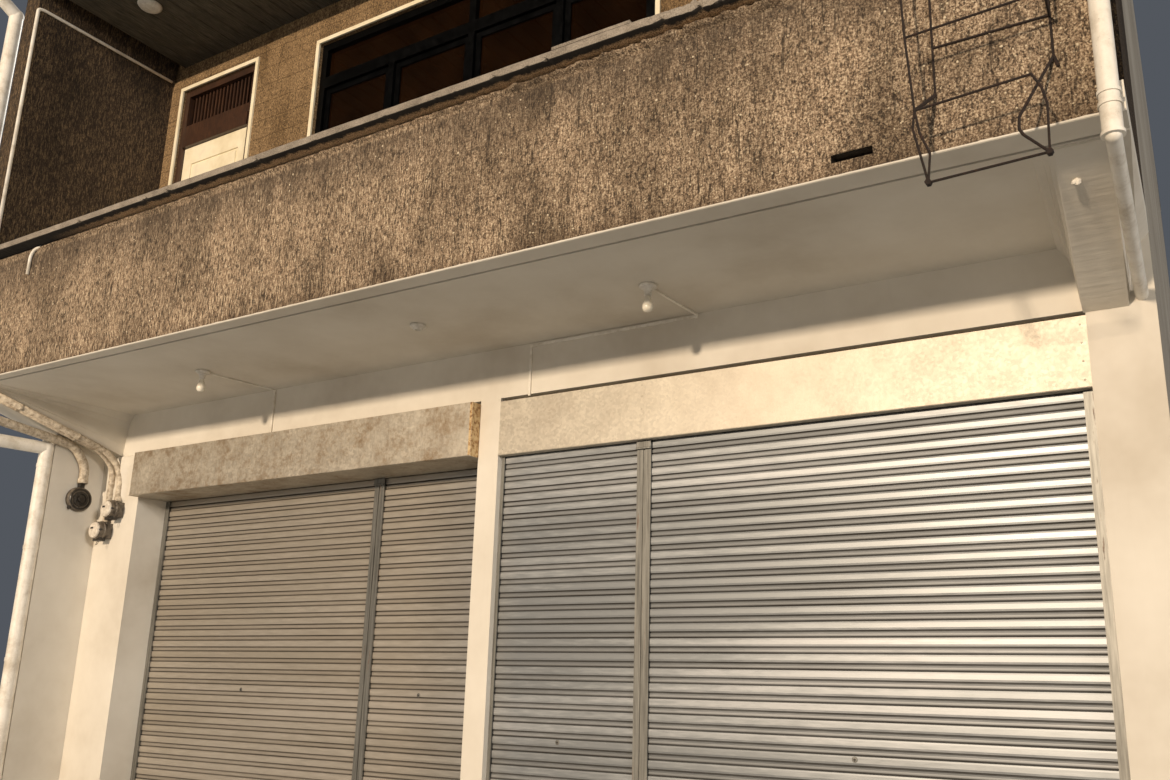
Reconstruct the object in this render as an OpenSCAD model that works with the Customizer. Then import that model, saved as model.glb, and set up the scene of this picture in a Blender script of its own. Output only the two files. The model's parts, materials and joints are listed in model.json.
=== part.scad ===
// Two-storey shop building of a row: shuttered shopfront below, a balcony behind a roughcast parapet,
// and an upper storey with a balcony door and a long window. Millimetres, +Z up, +Y into the building.

/* [Overall] */
// Width over both party walls
width = 8100; // [7200:10:9720]
// Depth from the front plane to the rear face
depth = 7000; // [5600:10:8400]
// Thickness of the party walls
party_t = 200; // [150:5:260]
// Thickness of the upper front wall and the rear walls
wall_t = 150; // [120:5:200]

/* [Ground floor] */
// Height of the shop floor above the street
floor_t = 50; // [40:5:120]
// Height of the canopy soffit above the street
soffit_z = 3537; // [3300:1:4200]
// Clear height under the shutter boxes
box_bottom = 2830; // [2500:5:2900]
// Height of the sheet-metal shutter boxes
box_h = 352; // [280:2:380]
// Gap between a box and the lintel
box_gap = 22; // [10:1:40]
// Width of the left column's front
left_column_w = 520; // [400:10:620]
// Width of the right column's front
right_column_w = 300; // [240:10:380]
// Width of the centre post
post_w = 160; // [130:2:200]
// Distance from the left wall's outer face to the centre post
post_x = 4200; // [3800:10:4600]
// Depth of the columns and the lintel
column_d = 330; // [300:5:420]
// How far the left shutters stand behind the front plane
left_recess = 250; // [200:5:280]
// How far the right shutters stand behind the front plane
right_recess = 40; // [30:2:80]
// How far the left box stands proud of the front plane
left_box_out = 80; // [40:2:120]
// How far the ground-floor pier projects on the left
pier_out = 425; // [300:5:500]

/* [Shutters] */
// Height of one slat
slat_pitch = 80; // [60:1:96]
// Share of a slat taken by its wide band
slat_band = 0.58; // [0.5:0.01:0.68]
// Depth of a curtain
slat_d = 16; // [12:1:20]
// Width of a side guide
guide_w = 46; // [40:1:60]
// Width of a mullion
mullion_w = 92; // [80:1:120]
// Depth of the guides
guide_d = 52; // [44:1:64]
// Width of the right bay's narrow leaf
right_narrow_w = 990; // [800:5:1200]
// Width of the left bay's narrow leaf
left_narrow_w = 1040; // [800:5:1250]
// Running clearance between a curtain and what holds it
slat_gap = 3; // [1:0.5:5]

/* [Canopy and balcony] */
// Projection of the canopy slab
canopy = 1172; // [980:1:1410]
// Thickness of the canopy slab
slab_t = 125; // [110:5:180]
// Height of the plain strip along the slab's edge
strip_h = 10; // [8:1:30]
// Height of the parapet from the strip to its coping
parapet_h = 945; // [780:1:1080]
// Thickness of the parapet
parapet_t = 120; // [100:5:150]
// Thickness of the coping
coping_t = 54; // [44:2:70]
// Overhang of the coping
coping_out = 108; // [60:2:130]
// Depth of a bracket where it meets the wall
bracket_h = 344; // [250:2:350]
// Depth of a bracket at its outer end
bracket_tip = 10; // [6:2:80]
// How much wider a bracket is at its top
bracket_flare = 90; // [40:5:120]
// How much narrower a bracket is at its outer end
bracket_taper = 40; // [0:5:80]

/* [Upper storey] */
// Height of the upper front wall's top above the street
wall_top = 6670; // [6400:5:7400]
// Underside of the eave boards
eave_z = 6850; // [6800:5:7900]
// Left edge of the balcony door's opening
door_x = 580; // [520:5:700]
// Width of the balcony door's opening
door_w = 962; // [850:2:1050]
// Height of the window's head above the soffit
head_h = 2908; // [2500:2:2950]
// How much higher the balcony door's head is
door_head_extra = 88; // [0:2:120]
// Left edge of the window opening
window_x = 2320; // [2100:5:2500]
// Width of the window opening
window_w = 3140; // [2700:5:3400]
// Height of the window opening
window_h = 1800; // [1500:5:2000]
// Height of the window's upper row
transom_h = 355; // [300:5:440]
// Number of panes in the window's lower row
panes = 4; // [2:2:6]
// Width of the window's frame bars
bar_w = 60; // [40:1:80]
// Width of the pale trim round the openings
trim_w = 34; // [24:1:50]
// How far the trim stands proud
trim_out = 14; // [8:1:24]

/* [Roof] */
// Projection of the eave in front of the fin wall
eave_past = 135; // [80:5:300]
// Projection of the eave behind the rear face
rear_eave = 400; // [250:10:500]
// Slope of the roof in degrees
pitch = 12; // [8:0.5:20]
// Pitch of the corrugations
wave = 150; // [120:5:200]
// Thickness of the roof sheets with their waves
sheet_t = 24; // [16:1:32]
// Width of the gutters
gutter_w = 130; // [110:5:160]

/* [Pipes and fittings] */
// Outer diameter of the left downpipe
left_pipe_d = 100; // [75:1:110]
// Outer diameter of the right downpipe
right_pipe_d = 75; // [66:1:80]
// Diameter of a lampholder's base
lamp_d = 100; // [80:1:120]
// Diameter of a lamp bulb
bulb_d = 60; // [50:1:70]
// Diameter of an electricity meter's glass
meter_d = 160; // [140:1:180]
// Diameter of the conduits
conduit_d = 50; // [40:1:60]
// Diameter of the sign frame's rods
rod_d = 10; // [8:1:16]

/* [Hidden] */

$fn = 48;
eps = 1;

// Heights
slab_top = soffit_z + slab_t;
box_top = box_bottom + box_h;
lintel_z = box_top + box_gap;
strip_top = soffit_z + strip_h;
parapet_top = strip_top + parapet_h;
head_z = soffit_z + head_h;
door_head_z = head_z + door_head_extra;
window_z = head_z - window_h;
transom_z = head_z - transom_h;
rail_w = 1.6 * bar_w;

// Lengths along the front
right_column_x = width - right_column_w;
left_bay_x = party_t + left_column_w;
left_bay_w = post_x - left_bay_x;
right_bay_x = post_x + post_w;
right_bay_w = right_column_x - right_bay_x;
fin_x = party_t;
fin_w = party_t;
fin_out = canopy + 43;
right_fin_out = canopy - parapet_t - 20;
parapet_end = width - 80;
eave_out = fin_out + eave_past;
// The drip groove stands closer to the front edge at the left than at the right
groove_left = 57;
groove_right = 142;
groove_w = 18;
bracket_run = canopy - groove_left - groove_w;

// Places along the depth
left_shutter_y = left_recess;
right_shutter_y = right_recess;
ridge_y = (depth + rear_eave - eave_out) / 2;
roof_half = ridge_y + eave_out;
fascia_t = 25;
elbow_t = 4;
fascia_h = 200;
board_t = 18;
roof_z = eave_z + fascia_h - board_t;
fascia_top = roof_z - fascia_t * tan(pitch);
gutter_drop = 14;

// The whole building stands with the middle of its footprint's box on the origin
front_y = -eave_out - fascia_t - gutter_w;
back_y = depth + rear_eave + fascia_t + gutter_w;
shift = [-width / 2, -(front_y + back_y) / 2, 0];

// Underside of the roof at a place along the depth
function under_roof(y) =
  roof_z + tan(pitch) * (y < ridge_y ? y + eave_out : depth + rear_eave - y);

// Underside of the brackets at a place along the depth
function under_bracket(y, run = bracket_run) =
  soffit_z - bracket_tip - (bracket_h - bracket_tip) * min(1, (y + run) / (run - eps));

module place() {
  translate(shift) children();
}

module block(lo, hi) {
  translate(lo) cube(hi - lo);
}

// A solid whose outline is given in depth and height, running along the front from x0 to x1
module run_x(x0, x1) {
  translate([x0, 0, 0]) rotate([90, 0, 90]) linear_extrude(x1 - x0) children();
}

// What lies under the roof sheets
module under_roof_profile(y0, y1, z0) {
  polygon(concat(
    [[y0, z0], [y1, z0], [y1, under_roof(y1)]],
    y0 < ridge_y && y1 > ridge_y ? [[ridge_y, under_roof(ridge_y)]] : [],
    [[y0, under_roof(y0)]]
  ));
}

// Round pipe from point to point, with an elbow at each bend that stands proud by lip
module pipe(points, d, lip = elbow_t) {
  for (i = [0 : len(points) - 2]) {
    a = points[i];
    v = points[i + 1] - a;
    l = norm(v);
    translate(a)
      rotate([0, acos(v[2] / l), atan2(v[1], v[0])])
        cylinder(d = d, h = l);
    if (i > 0) translate(a) sphere(d = d + 2 * lip);
  }
}

// Ground floor structure

module ground_slab() {
  color("darkgray") place() block([party_t, 0, 0], [width - party_t, depth, floor_t]);
}

module party_wall(x0) {
  color("lightgray") place() run_x(x0, x0 + party_t) under_roof_profile(0, depth, 0);
}

module left_party_wall() {
  party_wall(0);
}

module right_party_wall() {
  party_wall(width - party_t);
}

module left_pier() {
  color("whitesmoke") place() run_x(0, party_t) polygon([
    [-pier_out, 0],
    [0, 0],
    [0, under_bracket(0)],
    [-eps, under_bracket(0)],
    [-pier_out, under_bracket(-pier_out)]
  ]);
}

module left_column() {
  color("whitesmoke") place() block([party_t, 0, floor_t], [left_bay_x, column_d, lintel_z]);
}

module centre_post() {
  color("whitesmoke") place() block([post_x, 0, floor_t], [right_bay_x, column_d, lintel_z]);
}

module right_column() {
  color("whitesmoke") place()
    block([right_column_x, 0, floor_t], [width - party_t, column_d, lintel_z]);
}

module front_lintel() {
  color("whitesmoke") place()
    block([party_t, 0, lintel_z], [width - party_t, column_d, soffit_z]);
}

// Shutter boxes: folded sheet, open at the back and below where the curtain comes down

box_sheet = 3;
curtain_y = 12;

module shutter_box(x0, x1, y_front, y_shutter, y_back) {
  place() run_x(x0, x1) difference() {
    translate([y_front, box_bottom]) square([y_back - y_front, box_h]);
    translate([y_front + box_sheet, box_bottom + box_sheet])
      square([y_back - y_front - 2 * box_sheet, box_h - 2 * box_sheet]);
    translate([y_shutter + curtain_y - 4, box_bottom - eps])
      square([slat_d + 8, box_sheet + 2 * eps]);
  }
}

module left_shutter_box() {
  color("silver") union() {
    shutter_box(left_bay_x, post_x, -left_box_out, left_shutter_y, left_shutter_y + 70);
    place() for (x = [left_bay_x, post_x - box_sheet])
      block([x, -left_box_out + 1, box_bottom + 1], [x + box_sheet, 0, box_top - 1]);
  }
}

module right_shutter_box() {
  color("silver")
    shutter_box(right_bay_x, right_column_x, 0, right_shutter_y, right_shutter_y + 280);
}

// One slat's outline: a wide rolled band and a narrow sunk one, with the hooked joints between
function slat_points(i, p) = let (
    z = i * p,
    b = p * slat_band,
    n = p - b,
    k = n * 0.12
  ) [
    [slat_d * 0.70, z],
    [slat_d * 0.62, z + k],
    [slat_d * 0.34, z + k],
    [slat_d * 0.42, z + n * 0.5],
    [slat_d * 0.34, z + n - 2 * k],
    [slat_d * 0.70, z + n - 1.4 * k],
    [slat_d * 0.70, z + n - 0.4 * k],
    [slat_d * 0.12, z + n],
    [0, z + n + b * 0.25],
    [0, z + n + b * 0.75],
    [slat_d * 0.12, z + p - k]
  ];

module curtain(x0, x1, y, z0, z1) {
  bar_h = 60;
  span = z1 - z0 - bar_h;
  count = ceil(span / slat_pitch);
  face = [for (i = [0 : count - 1]) each slat_points(i, slat_pitch)];
  color("gainsboro") place() {
    run_x(x0, x1) translate([y, z0]) union() {
      translate([0, bar_h]) intersection() {
        polygon(concat(face, [[slat_d, count * slat_pitch], [slat_d, 0]]));
        square([slat_d, span]);
      }
      square([slat_d, bar_h + eps]);
    }
  }
}

guide_lip = 12;
sheet = 3;

module left_wide_shutter() {
  curtain(left_bay_x + guide_w - guide_lip, post_x - left_narrow_w - mullion_w + guide_lip,
    left_shutter_y + curtain_y, floor_t, box_bottom + 60);
}

module left_narrow_shutter() {
  curtain(post_x - left_narrow_w - guide_lip, post_x - guide_w + guide_lip,
    left_shutter_y + curtain_y, floor_t, box_bottom + 60);
}

module right_narrow_shutter() {
  curtain(right_bay_x + guide_w / 2 - guide_lip, right_bay_x + right_narrow_w + guide_lip,
    right_shutter_y + curtain_y, floor_t, box_bottom + 60);
}

module right_wide_shutter() {
  curtain(right_bay_x + right_narrow_w + mullion_w - guide_lip,
    right_column_x - guide_w + guide_lip,
    right_shutter_y + curtain_y, floor_t, box_bottom + 60);
}

// A guide's plan: a folded channel with a slot on each side where a curtain runs
module guide(x0, x1, y, slot_left, slot_right) {
  slot_w = slat_d + 2 * slat_gap;
  place() translate([0, 0, floor_t]) linear_extrude(box_bottom - floor_t - 2) difference() {
    translate([x0, y]) square([x1 - x0, guide_d]);
    if (slot_left)
      translate([x0 - eps, y + curtain_y - slat_gap]) square([guide_lip + slat_gap + eps, slot_w]);
    if (slot_right)
      translate([x1 - guide_lip - slat_gap, y + curtain_y - slat_gap])
        square([guide_lip + slat_gap + eps, slot_w]);
    if (slot_left && slot_right)
      translate([(x0 + x1) / 2 - 6, y - eps]) square([12, 7]);
  }
}

module shutter_guides() {
  color("darkgray") {
    guide(left_bay_x, left_bay_x + guide_w, left_shutter_y, false, true);
    guide(post_x - left_narrow_w - mullion_w, post_x - left_narrow_w, left_shutter_y, true, true);
    guide(post_x - guide_w, post_x, left_shutter_y, true, false);
    guide(right_bay_x, right_bay_x + guide_w / 2, right_shutter_y, false, true);
    guide(right_bay_x + right_narrow_w, right_bay_x + right_narrow_w + mullion_w,
      right_shutter_y, true, true);
    guide(right_column_x - guide_w, right_column_x, right_shutter_y, true, false);
  }
}

// Canopy and balcony

module balcony_slab() {
  color("whitesmoke") place() difference() {
    union() {
      block([0, -canopy, soffit_z], [width, 0, slab_top]);
      block([0, -canopy - 8, soffit_z], [parapet_end, -canopy + eps, strip_top]);
    }
    hull() {
      translate([-eps, -canopy + groove_left - groove_w / 2, soffit_z - eps])
        cube([eps, groove_w, 10 + eps]);
      translate([width, -canopy + groove_right - groove_w / 2, soffit_z - eps])
        cube([eps, groove_w, 10 + eps]);
    }
    scupper();
  }
}

// Width of the right bracket's underside
right_heel = 196;
// Coved flank of a bracket: share of the flare and share of the depth at each rung
cove = [[0, 0], [0.45, 0.16], [0.68, 0.33], [0.89, 0.75], [1, 1]];

// A haunch that deepens towards the wall and flares at its top. Its foot stands at x_foot
// at the wall, dir points from its outer side to its coved flank, and x_side is that outer side.
// With a heel the outer side is coved too, and its foot stands that far from x_foot.
module bracket(x_foot, dir, x_side, out, heel = 0) {
  color("whitesmoke") place() union() for (i = [0 : len(cove) - 2]) hull() for (end = [0, 1]) {
    y = end == 0 ? -eps : -out;
    h = round(soffit_z - under_bracket(y, out));
    foot = x_foot - dir * end * bracket_taper;
    for (r = [cove[i], cove[i + 1]]) {
      flank = foot + dir * bracket_flare * (1 - r[0]);
      side = heel == 0 ? x_side : x_side + (foot - dir * heel - x_side) * r[0];
      z = soffit_z - h * r[1];
      translate([min(flank, side), y, r[1] == 0 ? z - 0.1 : z])
        cube([abs(side - flank), eps, 0.1]);
    }
  }
}

module left_bracket() {
  bracket(left_bay_x - 290, 1, 0, bracket_run);
}

module right_bracket() {
  bracket(right_column_x - 10, -1, width, canopy - groove_right - groove_w, right_heel);
}

scupper_x = 6984;
scupper_w = 180;
scupper_h = 37;

// The drain's hole falls from the balcony floor to the parapet's face
module scupper() {
  run_x(scupper_x, scupper_x + scupper_w) polygon([
    [-canopy - 10, slab_top - 57],
    [-canopy + parapet_t + eps, slab_top],
    [-canopy + parapet_t + eps, slab_top + scupper_h],
    [-canopy - 10, slab_top - 57 + scupper_h]
  ]);
}

module parapet() {
  color("rosybrown") place() difference() {
    union() {
      block([0, -canopy, slab_top], [parapet_end, -canopy + parapet_t, parapet_top]);
      block([0, -canopy - 6, strip_top], [parapet_end, -canopy, parapet_top]);
    }
    scupper();
  }
}

pipe_ring = 5;
right_pipe_x = width - 50;
coping_end = right_pipe_x - right_pipe_d / 2 - 2;

module parapet_coping() {
  color("gray") place()
    block([fin_x + fin_w, -canopy - coping_out, parapet_top],
      [coping_end, -canopy + parapet_t + 20, parapet_top + coping_t]);
}

module left_fin() {
  color("rosybrown") place() difference() {
    run_x(fin_x, fin_x + fin_w) under_roof_profile(-fin_out, 0, slab_top);
    block([fin_x - eps, -canopy - 10, slab_top - eps],
      [fin_x + fin_w + eps, -canopy + parapet_t + eps, parapet_top]);
    block([fin_x - eps, -fin_out - eps, slab_top - eps],
      [fin_x + fin_w + eps, -canopy - 6, parapet_top]);
  }
}

module right_fin() {
  color("rosybrown") place()
    run_x(width - party_t, width) under_roof_profile(-right_fin_out, 0, slab_top);
}

// Upper storey

module upper_floor() {
  color("lightgray") place()
    block([party_t, 0, soffit_z], [width - party_t, depth, slab_top]);
}

module front_wall_piers() {
  color("peru") place() {
    block([party_t, 0, slab_top], [door_x, wall_t, wall_top]);
    block([door_x + door_w, 0, slab_top], [window_x, wall_t, wall_top]);
    block([window_x + window_w, 0, slab_top], [width - party_t, wall_t, wall_top]);
  }
}

module front_wall_bands() {
  color("peru") place() {
    block([door_x, 0, door_head_z], [door_x + door_w, wall_t, wall_top]);
    block([window_x, 0, slab_top], [window_x + window_w, wall_t, window_z]);
    block([window_x, 0, head_z], [window_x + window_w, wall_t, wall_top]);
  }
}

module trim_ring(x0, x1, z0, z1, sill) {
  run = [-trim_out, 0];
  difference() {
    block([x0 - trim_w, run[0], sill ? z0 - trim_w : z0], [x1 + trim_w, run[1], z1 + trim_w]);
    block([x0, run[0] - eps, sill ? z0 : z0 - eps], [x1, run[1] + eps, z1]);
  }
}

module opening_trims() {
  color("cornsilk") place() {
    trim_ring(door_x, door_x + door_w, slab_top, door_head_z, false);
    trim_ring(window_x, window_x + window_w, window_z, head_z, true);
  }
}

door_frame_w = 60;
door_frame_d = 90;
door_frame_y = 20;
door_leaf_h = 2303;
louvre_rail = 215;
rail_board = 122;
leaf_t = 40;
leaf_gap = 3;
door_stop = 14;
door_stop_y = door_frame_y + 20 + leaf_t;

louvres = 17;
louvre_w = 18;
louvre_d = 34;

module balcony_door_frame() {
  x0 = door_x;
  x1 = door_x + door_w;
  rail_z = slab_top + door_leaf_h;
  color("sienna") place() difference() {
    union() {
      block([x0, door_frame_y, slab_top], [x1, door_frame_y + door_frame_d, door_head_z]);
      block([x0 + door_frame_w, door_frame_y - 12, rail_z],
        [x1 - door_frame_w, door_frame_y + eps, rail_z + rail_board]);
    }
    block([x0 + door_frame_w, door_frame_y - eps, slab_top - eps],
      [x1 - door_frame_w, door_stop_y, rail_z]);
    block([x0 + door_frame_w + door_stop, door_frame_y, slab_top - eps],
      [x1 - door_frame_w - door_stop, door_frame_y + door_frame_d + eps, rail_z - door_stop]);
    difference() {
      block([x0 + door_frame_w, door_frame_y - eps, rail_z + louvre_rail],
        [x1 - door_frame_w, door_frame_y + door_frame_d - 12, door_head_z - door_frame_w]);
      step = (door_w - 2 * door_frame_w) / (louvres + 1);
      for (i = [1 : louvres]) {
        x = x0 + door_frame_w + step * i - louvre_w / 2;
        block([x, door_frame_y + louvre_d, rail_z], [x + louvre_w, door_frame_y + door_frame_d, head_z * 2]);
      }
    }
  }
}

module balcony_door_leaf() {
  x0 = door_x + door_frame_w + leaf_gap;
  x1 = door_x + door_w - door_frame_w - leaf_gap;
  color("cornsilk") place() difference() {
    block([x0, door_stop_y - leaf_t, slab_top + leaf_gap], [x1, door_stop_y, slab_top + door_leaf_h - leaf_gap]);
    for (p = [[200, 880], [1220, 915]]) difference() {
      z = slab_top + p[0];
      block([x0 + 110, door_stop_y - leaf_t - eps, z], [x1 - 110, door_stop_y - leaf_t + 10, z + p[1]]);
      block([x0 + 135, door_stop_y - leaf_t - 2 * eps, z + 25],
        [x1 - 135, door_stop_y - leaf_t + 10 + eps, z + p[1] - 25]);
    }
  }
}

frame_d = 80;
sash_w = 46;
sash_back = 26;

// A framed window: an outer frame, a transom, mullions above and below, and sashes below
module window_bars(x0, w, z0, h, upper_h, n, y) {
  pane = w / n;
  place() difference() {
    block([x0, y, z0], [x0 + w, y + frame_d, z0 + h]);
    for (i = [0 : n - 1], s = [[0, sash_back], [sash_w, frame_d + eps]])
      block([x0 + pane * i + (i == 0 ? bar_w : bar_w / 2) + s[0], y - eps, z0 + bar_w + s[0]],
        [x0 + pane * (i + 1) - (i == n - 1 ? bar_w : bar_w / 2) - s[0], y + s[1],
          z0 + h - upper_h - rail_w / 2 - s[0]]);
    for (i = [0 : n / 2 - 1])
      block([x0 + 2 * pane * i + (i == 0 ? bar_w : bar_w / 2), y - eps, z0 + h - upper_h + rail_w / 2],
        [x0 + 2 * pane * (i + 1) - (i == n / 2 - 1 ? bar_w : bar_w / 2), y + frame_d + eps,
          z0 + h - bar_w]);
  }
}

module window_panes(x0, w, z0, h, upper_h, n, y) {
  place() intersection() {
    block([x0, y, z0], [x0 + w, y + 6, z0 + h]);
    union() {
      for (i = [0 : n - 1])
        block([x0 + w / n * i + (i == 0 ? bar_w : bar_w / 2) + sash_w, y, z0 + bar_w + sash_w],
          [x0 + w / n * (i + 1) - (i == n - 1 ? bar_w : bar_w / 2) - sash_w, y + 6,
            z0 + h - upper_h - rail_w / 2 - sash_w]);
      for (i = [0 : n / 2 - 1])
        block([x0 + w / n * 2 * i + (i == 0 ? bar_w : bar_w / 2), y, z0 + h - upper_h + rail_w / 2],
          [x0 + w / n * 2 * (i + 1) - (i == n / 2 - 1 ? bar_w : bar_w / 2), y + 6,
            z0 + h - bar_w]);
    }
  }
}

module window_frame() {
  color("black") window_bars(window_x, window_w, window_z, window_h, transom_h, panes, 30);
}

module window_glass() {
  color("saddlebrown")
    window_panes(window_x, window_w, window_z, window_h, transom_h, panes, 30 + frame_d / 2);
}

// Rear wall: two windows below beside a plain door, and the front's long window above

rear_y = depth - wall_t;
rear_door_w = 900;
rear_door_h = 2100;
rear_door_x = width - party_t - 900 - rear_door_w;
rear_win_w = 1600;
rear_win_h = 1100;
rear_win_z = 1100;
rear_win_x = 2320;
upper_win_x = (width - window_w) / 2;

module rear_wall_piers() {
  color("tan") place() {
    block([party_t, rear_y, floor_t], [rear_win_x, depth, soffit_z]);
    block([rear_win_x + rear_win_w, rear_y, floor_t], [rear_door_x, depth, soffit_z]);
    block([rear_door_x + rear_door_w, rear_y, floor_t], [width - party_t, depth, soffit_z]);
    block([party_t, rear_y, slab_top], [upper_win_x, depth, wall_top]);
    block([upper_win_x + window_w, rear_y, slab_top], [width - party_t, depth, wall_top]);
  }
}

module rear_wall_bands() {
  color("tan") place() {
    block([rear_win_x, rear_y, floor_t], [rear_win_x + rear_win_w, depth, rear_win_z]);
    block([rear_win_x, rear_y, rear_win_z + rear_win_h], [rear_win_x + rear_win_w, depth, soffit_z]);
    block([rear_door_x, rear_y, floor_t + rear_door_h], [rear_door_x + rear_door_w, depth, soffit_z]);
    block([upper_win_x, rear_y, slab_top], [upper_win_x + window_w, depth, window_z]);
    block([upper_win_x, rear_y, head_z], [upper_win_x + window_w, depth, wall_top]);
  }
}

module rear_door() {
  color("sienna") place()
    block([rear_door_x, rear_y + 50, floor_t], [rear_door_x + rear_door_w, rear_y + 100, floor_t + rear_door_h]);
}

module rear_window_frames() {
  color("black") {
    window_bars(rear_win_x, rear_win_w, rear_win_z, rear_win_h, 300, 2, rear_y + 40);
    window_bars(upper_win_x, window_w, window_z, window_h, transom_h, panes, rear_y + 40);
  }
}

module rear_window_glass() {
  color("saddlebrown") {
    window_panes(rear_win_x, rear_win_w, rear_win_z, rear_win_h, 300, 2, rear_y + 40 + frame_d / 2);
    window_panes(upper_win_x, window_w, window_z, window_h, transom_h, panes, rear_y + 40 + frame_d / 2);
  }
}

// Roof

plate_back = 40;
soffit_margin = 70;

module wall_plates() {
  color("dimgray") place() {
    run_x(party_t, width - party_t) under_roof_profile(plate_back, wall_t, wall_top);
    run_x(party_t, width - party_t) under_roof_profile(rear_y, depth, wall_top);
  }
}

module eave_soffit() {
  color("tan") place()
    block([fin_x + fin_w + soffit_margin, -eave_out, eave_z - board_t],
      [width - party_t - soffit_margin, plate_back, eave_z]);
}

module eave_fascias() {
  color("dimgray") place() {
    block([0, -eave_out - fascia_t, eave_z - board_t], [width, -eave_out, fascia_top]);
    block([0, depth + rear_eave, eave_z], [width, depth + rear_eave + fascia_t, fascia_top]);
  }
}

// Gutter outline: a round-bottomed trough open at the top
module trough() {
  r = gutter_w / 2;
  c = -r - 8;
  difference() {
    union() {
      translate([0, c]) square([gutter_w, -c]);
      translate([r, c]) circle(r = r);
    }
    translate([4, c]) square([gutter_w - 8, -c + eps]);
    translate([r, c]) circle(r = r - 4);
  }
}

module gutters() {
  color("lightgray") place() {
    run_x(0, width) translate([front_y, fascia_top - gutter_drop]) trough();
    run_x(0, width) translate([depth + rear_eave + fascia_t, fascia_top - gutter_drop]) trough();
  }
}

// One slope of corrugated sheets, rising from its eave to the ridge
module slope() {
  run = (roof_half + fascia_t) / cos(pitch) - 60;
  waves = floor(width / wave);
  step = width / waves;
  translate([0, 0, 0]) rotate([pitch, 0, 0]) rotate([-90, 0, 0]) mirror([0, 1, 0])
    linear_extrude(run) polygon(concat(
      [for (i = [0 : waves * 2]) [i * step / 2, i % 2 == 0 ? 6 : sheet_t]],
      [[width, 0], [0, 0]]
    ));
}

module roof_sheets() {
  color("gray") place() {
    translate([0, -eave_out - fascia_t, roof_z - fascia_t * tan(pitch)]) slope();
    translate([0, depth + rear_eave + fascia_t, roof_z - fascia_t * tan(pitch)])
      mirror([0, 1, 0]) slope();
  }
}

module ridge_cap() {
  cap = 220;
  z = under_roof(ridge_y) + (sheet_t + 0.3) / cos(pitch);
  color("gray") place() run_x(0, width) polygon([
    [ridge_y - cap, z - cap * tan(pitch)],
    [ridge_y, z],
    [ridge_y + cap, z - cap * tan(pitch)],
    [ridge_y + cap, z - cap * tan(pitch) + 8],
    [ridge_y, z + 8],
    [ridge_y - cap, z - cap * tan(pitch) + 8]
  ]);
}

// Pipes and fittings

gutter_foot = fascia_top - gutter_drop - gutter_w - 8 - 0.3;
left_pipe_x = 110;
left_pipe_low_x = 180;
left_pipe_run_z = 3190;
right_pipe_y = -canopy - 8.3 - pipe_ring - right_pipe_d / 2;

module left_downpipe() {
  y_out = -canopy - 12 - left_pipe_d / 2;
  y_in = -pier_out - left_pipe_d / 2 - elbow_t - 0.3;
  color("white") place() pipe([
    [left_pipe_x, front_y + gutter_w / 2, gutter_foot],
    [left_pipe_x, front_y + gutter_w / 2, roof_z - 225],
    [left_pipe_x, y_out, roof_z - 345],
    [left_pipe_x, y_out, left_pipe_run_z],
    [left_pipe_low_x, y_in, left_pipe_run_z],
    [left_pipe_low_x, y_in, 0]
  ], left_pipe_d);
}

// The lower pipe runs beside the bracket and goes into the wall
module right_downpipe() {
  lower_d = right_pipe_d - 17;
  color("white") place() {
    pipe([
      [right_pipe_x, front_y + gutter_w / 2, gutter_foot],
      [right_pipe_x, front_y + gutter_w / 2, roof_z - 300],
      [right_pipe_x, right_pipe_y, roof_z - 500],
      [right_pipe_x, right_pipe_y, soffit_z - 113]
    ], right_pipe_d);
    difference() {
      pipe([
        [right_pipe_x, right_pipe_y, soffit_z - 60],
        [right_pipe_x, right_pipe_y, soffit_z - 113],
        [right_pipe_x - 7, 60, under_bracket(0) + 38]
      ], lower_d, 1);
      block([right_pipe_x - 200, -0.3, soffit_z - 600], [right_pipe_x + 200, 200, soffit_z]);
    }
    for (z = [soffit_z - 116, soffit_z + 1, soffit_z + 48])
      translate([right_pipe_x, right_pipe_y, z]) cylinder(d = right_pipe_d + 2 * pipe_ring, h = 14);
  }
}

// Places of the three lampholders under the canopy; the middle one holds no bulb
lamps = [[2154, -570], [4180, -600], [5725, -512]];

module lampholders() {
  color("white") place()
    for (i = [0 : 2]) translate([lamps[i][0], lamps[i][1], soffit_z - 32]) union() {
      translate([0, 0, 14]) cylinder(d = lamp_d, h = 18);
      cylinder(d1 = 44, d2 = 60, h = 14);
      if (i != 1) translate([0, 0, -30]) cylinder(d = 42, h = 30 + eps);
    }
}

module lamp_bulbs() {
  color("ivory") place()
    for (i = [0, 2]) translate([lamps[i][0], lamps[i][1], soffit_z - 62]) rotate([180, 0, 0])
      rotate_extrude() intersection() {
        union() {
          translate([0, 62]) circle(d = bulb_d);
          polygon([[0, 0], [14, 0], [16, 14], [26, 44], [0, 60]]);
        }
        square([bulb_d, 120]);
      }
}

// Square cable moulding laid on the soffit from a to b
module soffit_moulding(a, b) {
  translate([a[0], a[1], soffit_z - moulding_t]) rotate([0, 0, atan2(b[1] - a[1], b[0] - a[0])])
    translate([0, -moulding_w / 2, 0]) cube([norm(b - a), moulding_w, moulding_t]);
}

moulding_w = 16;
moulding_t = 10;
left_run_x = 2224;
right_run_x = 4580;
right_turn_x = 5755;

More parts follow.
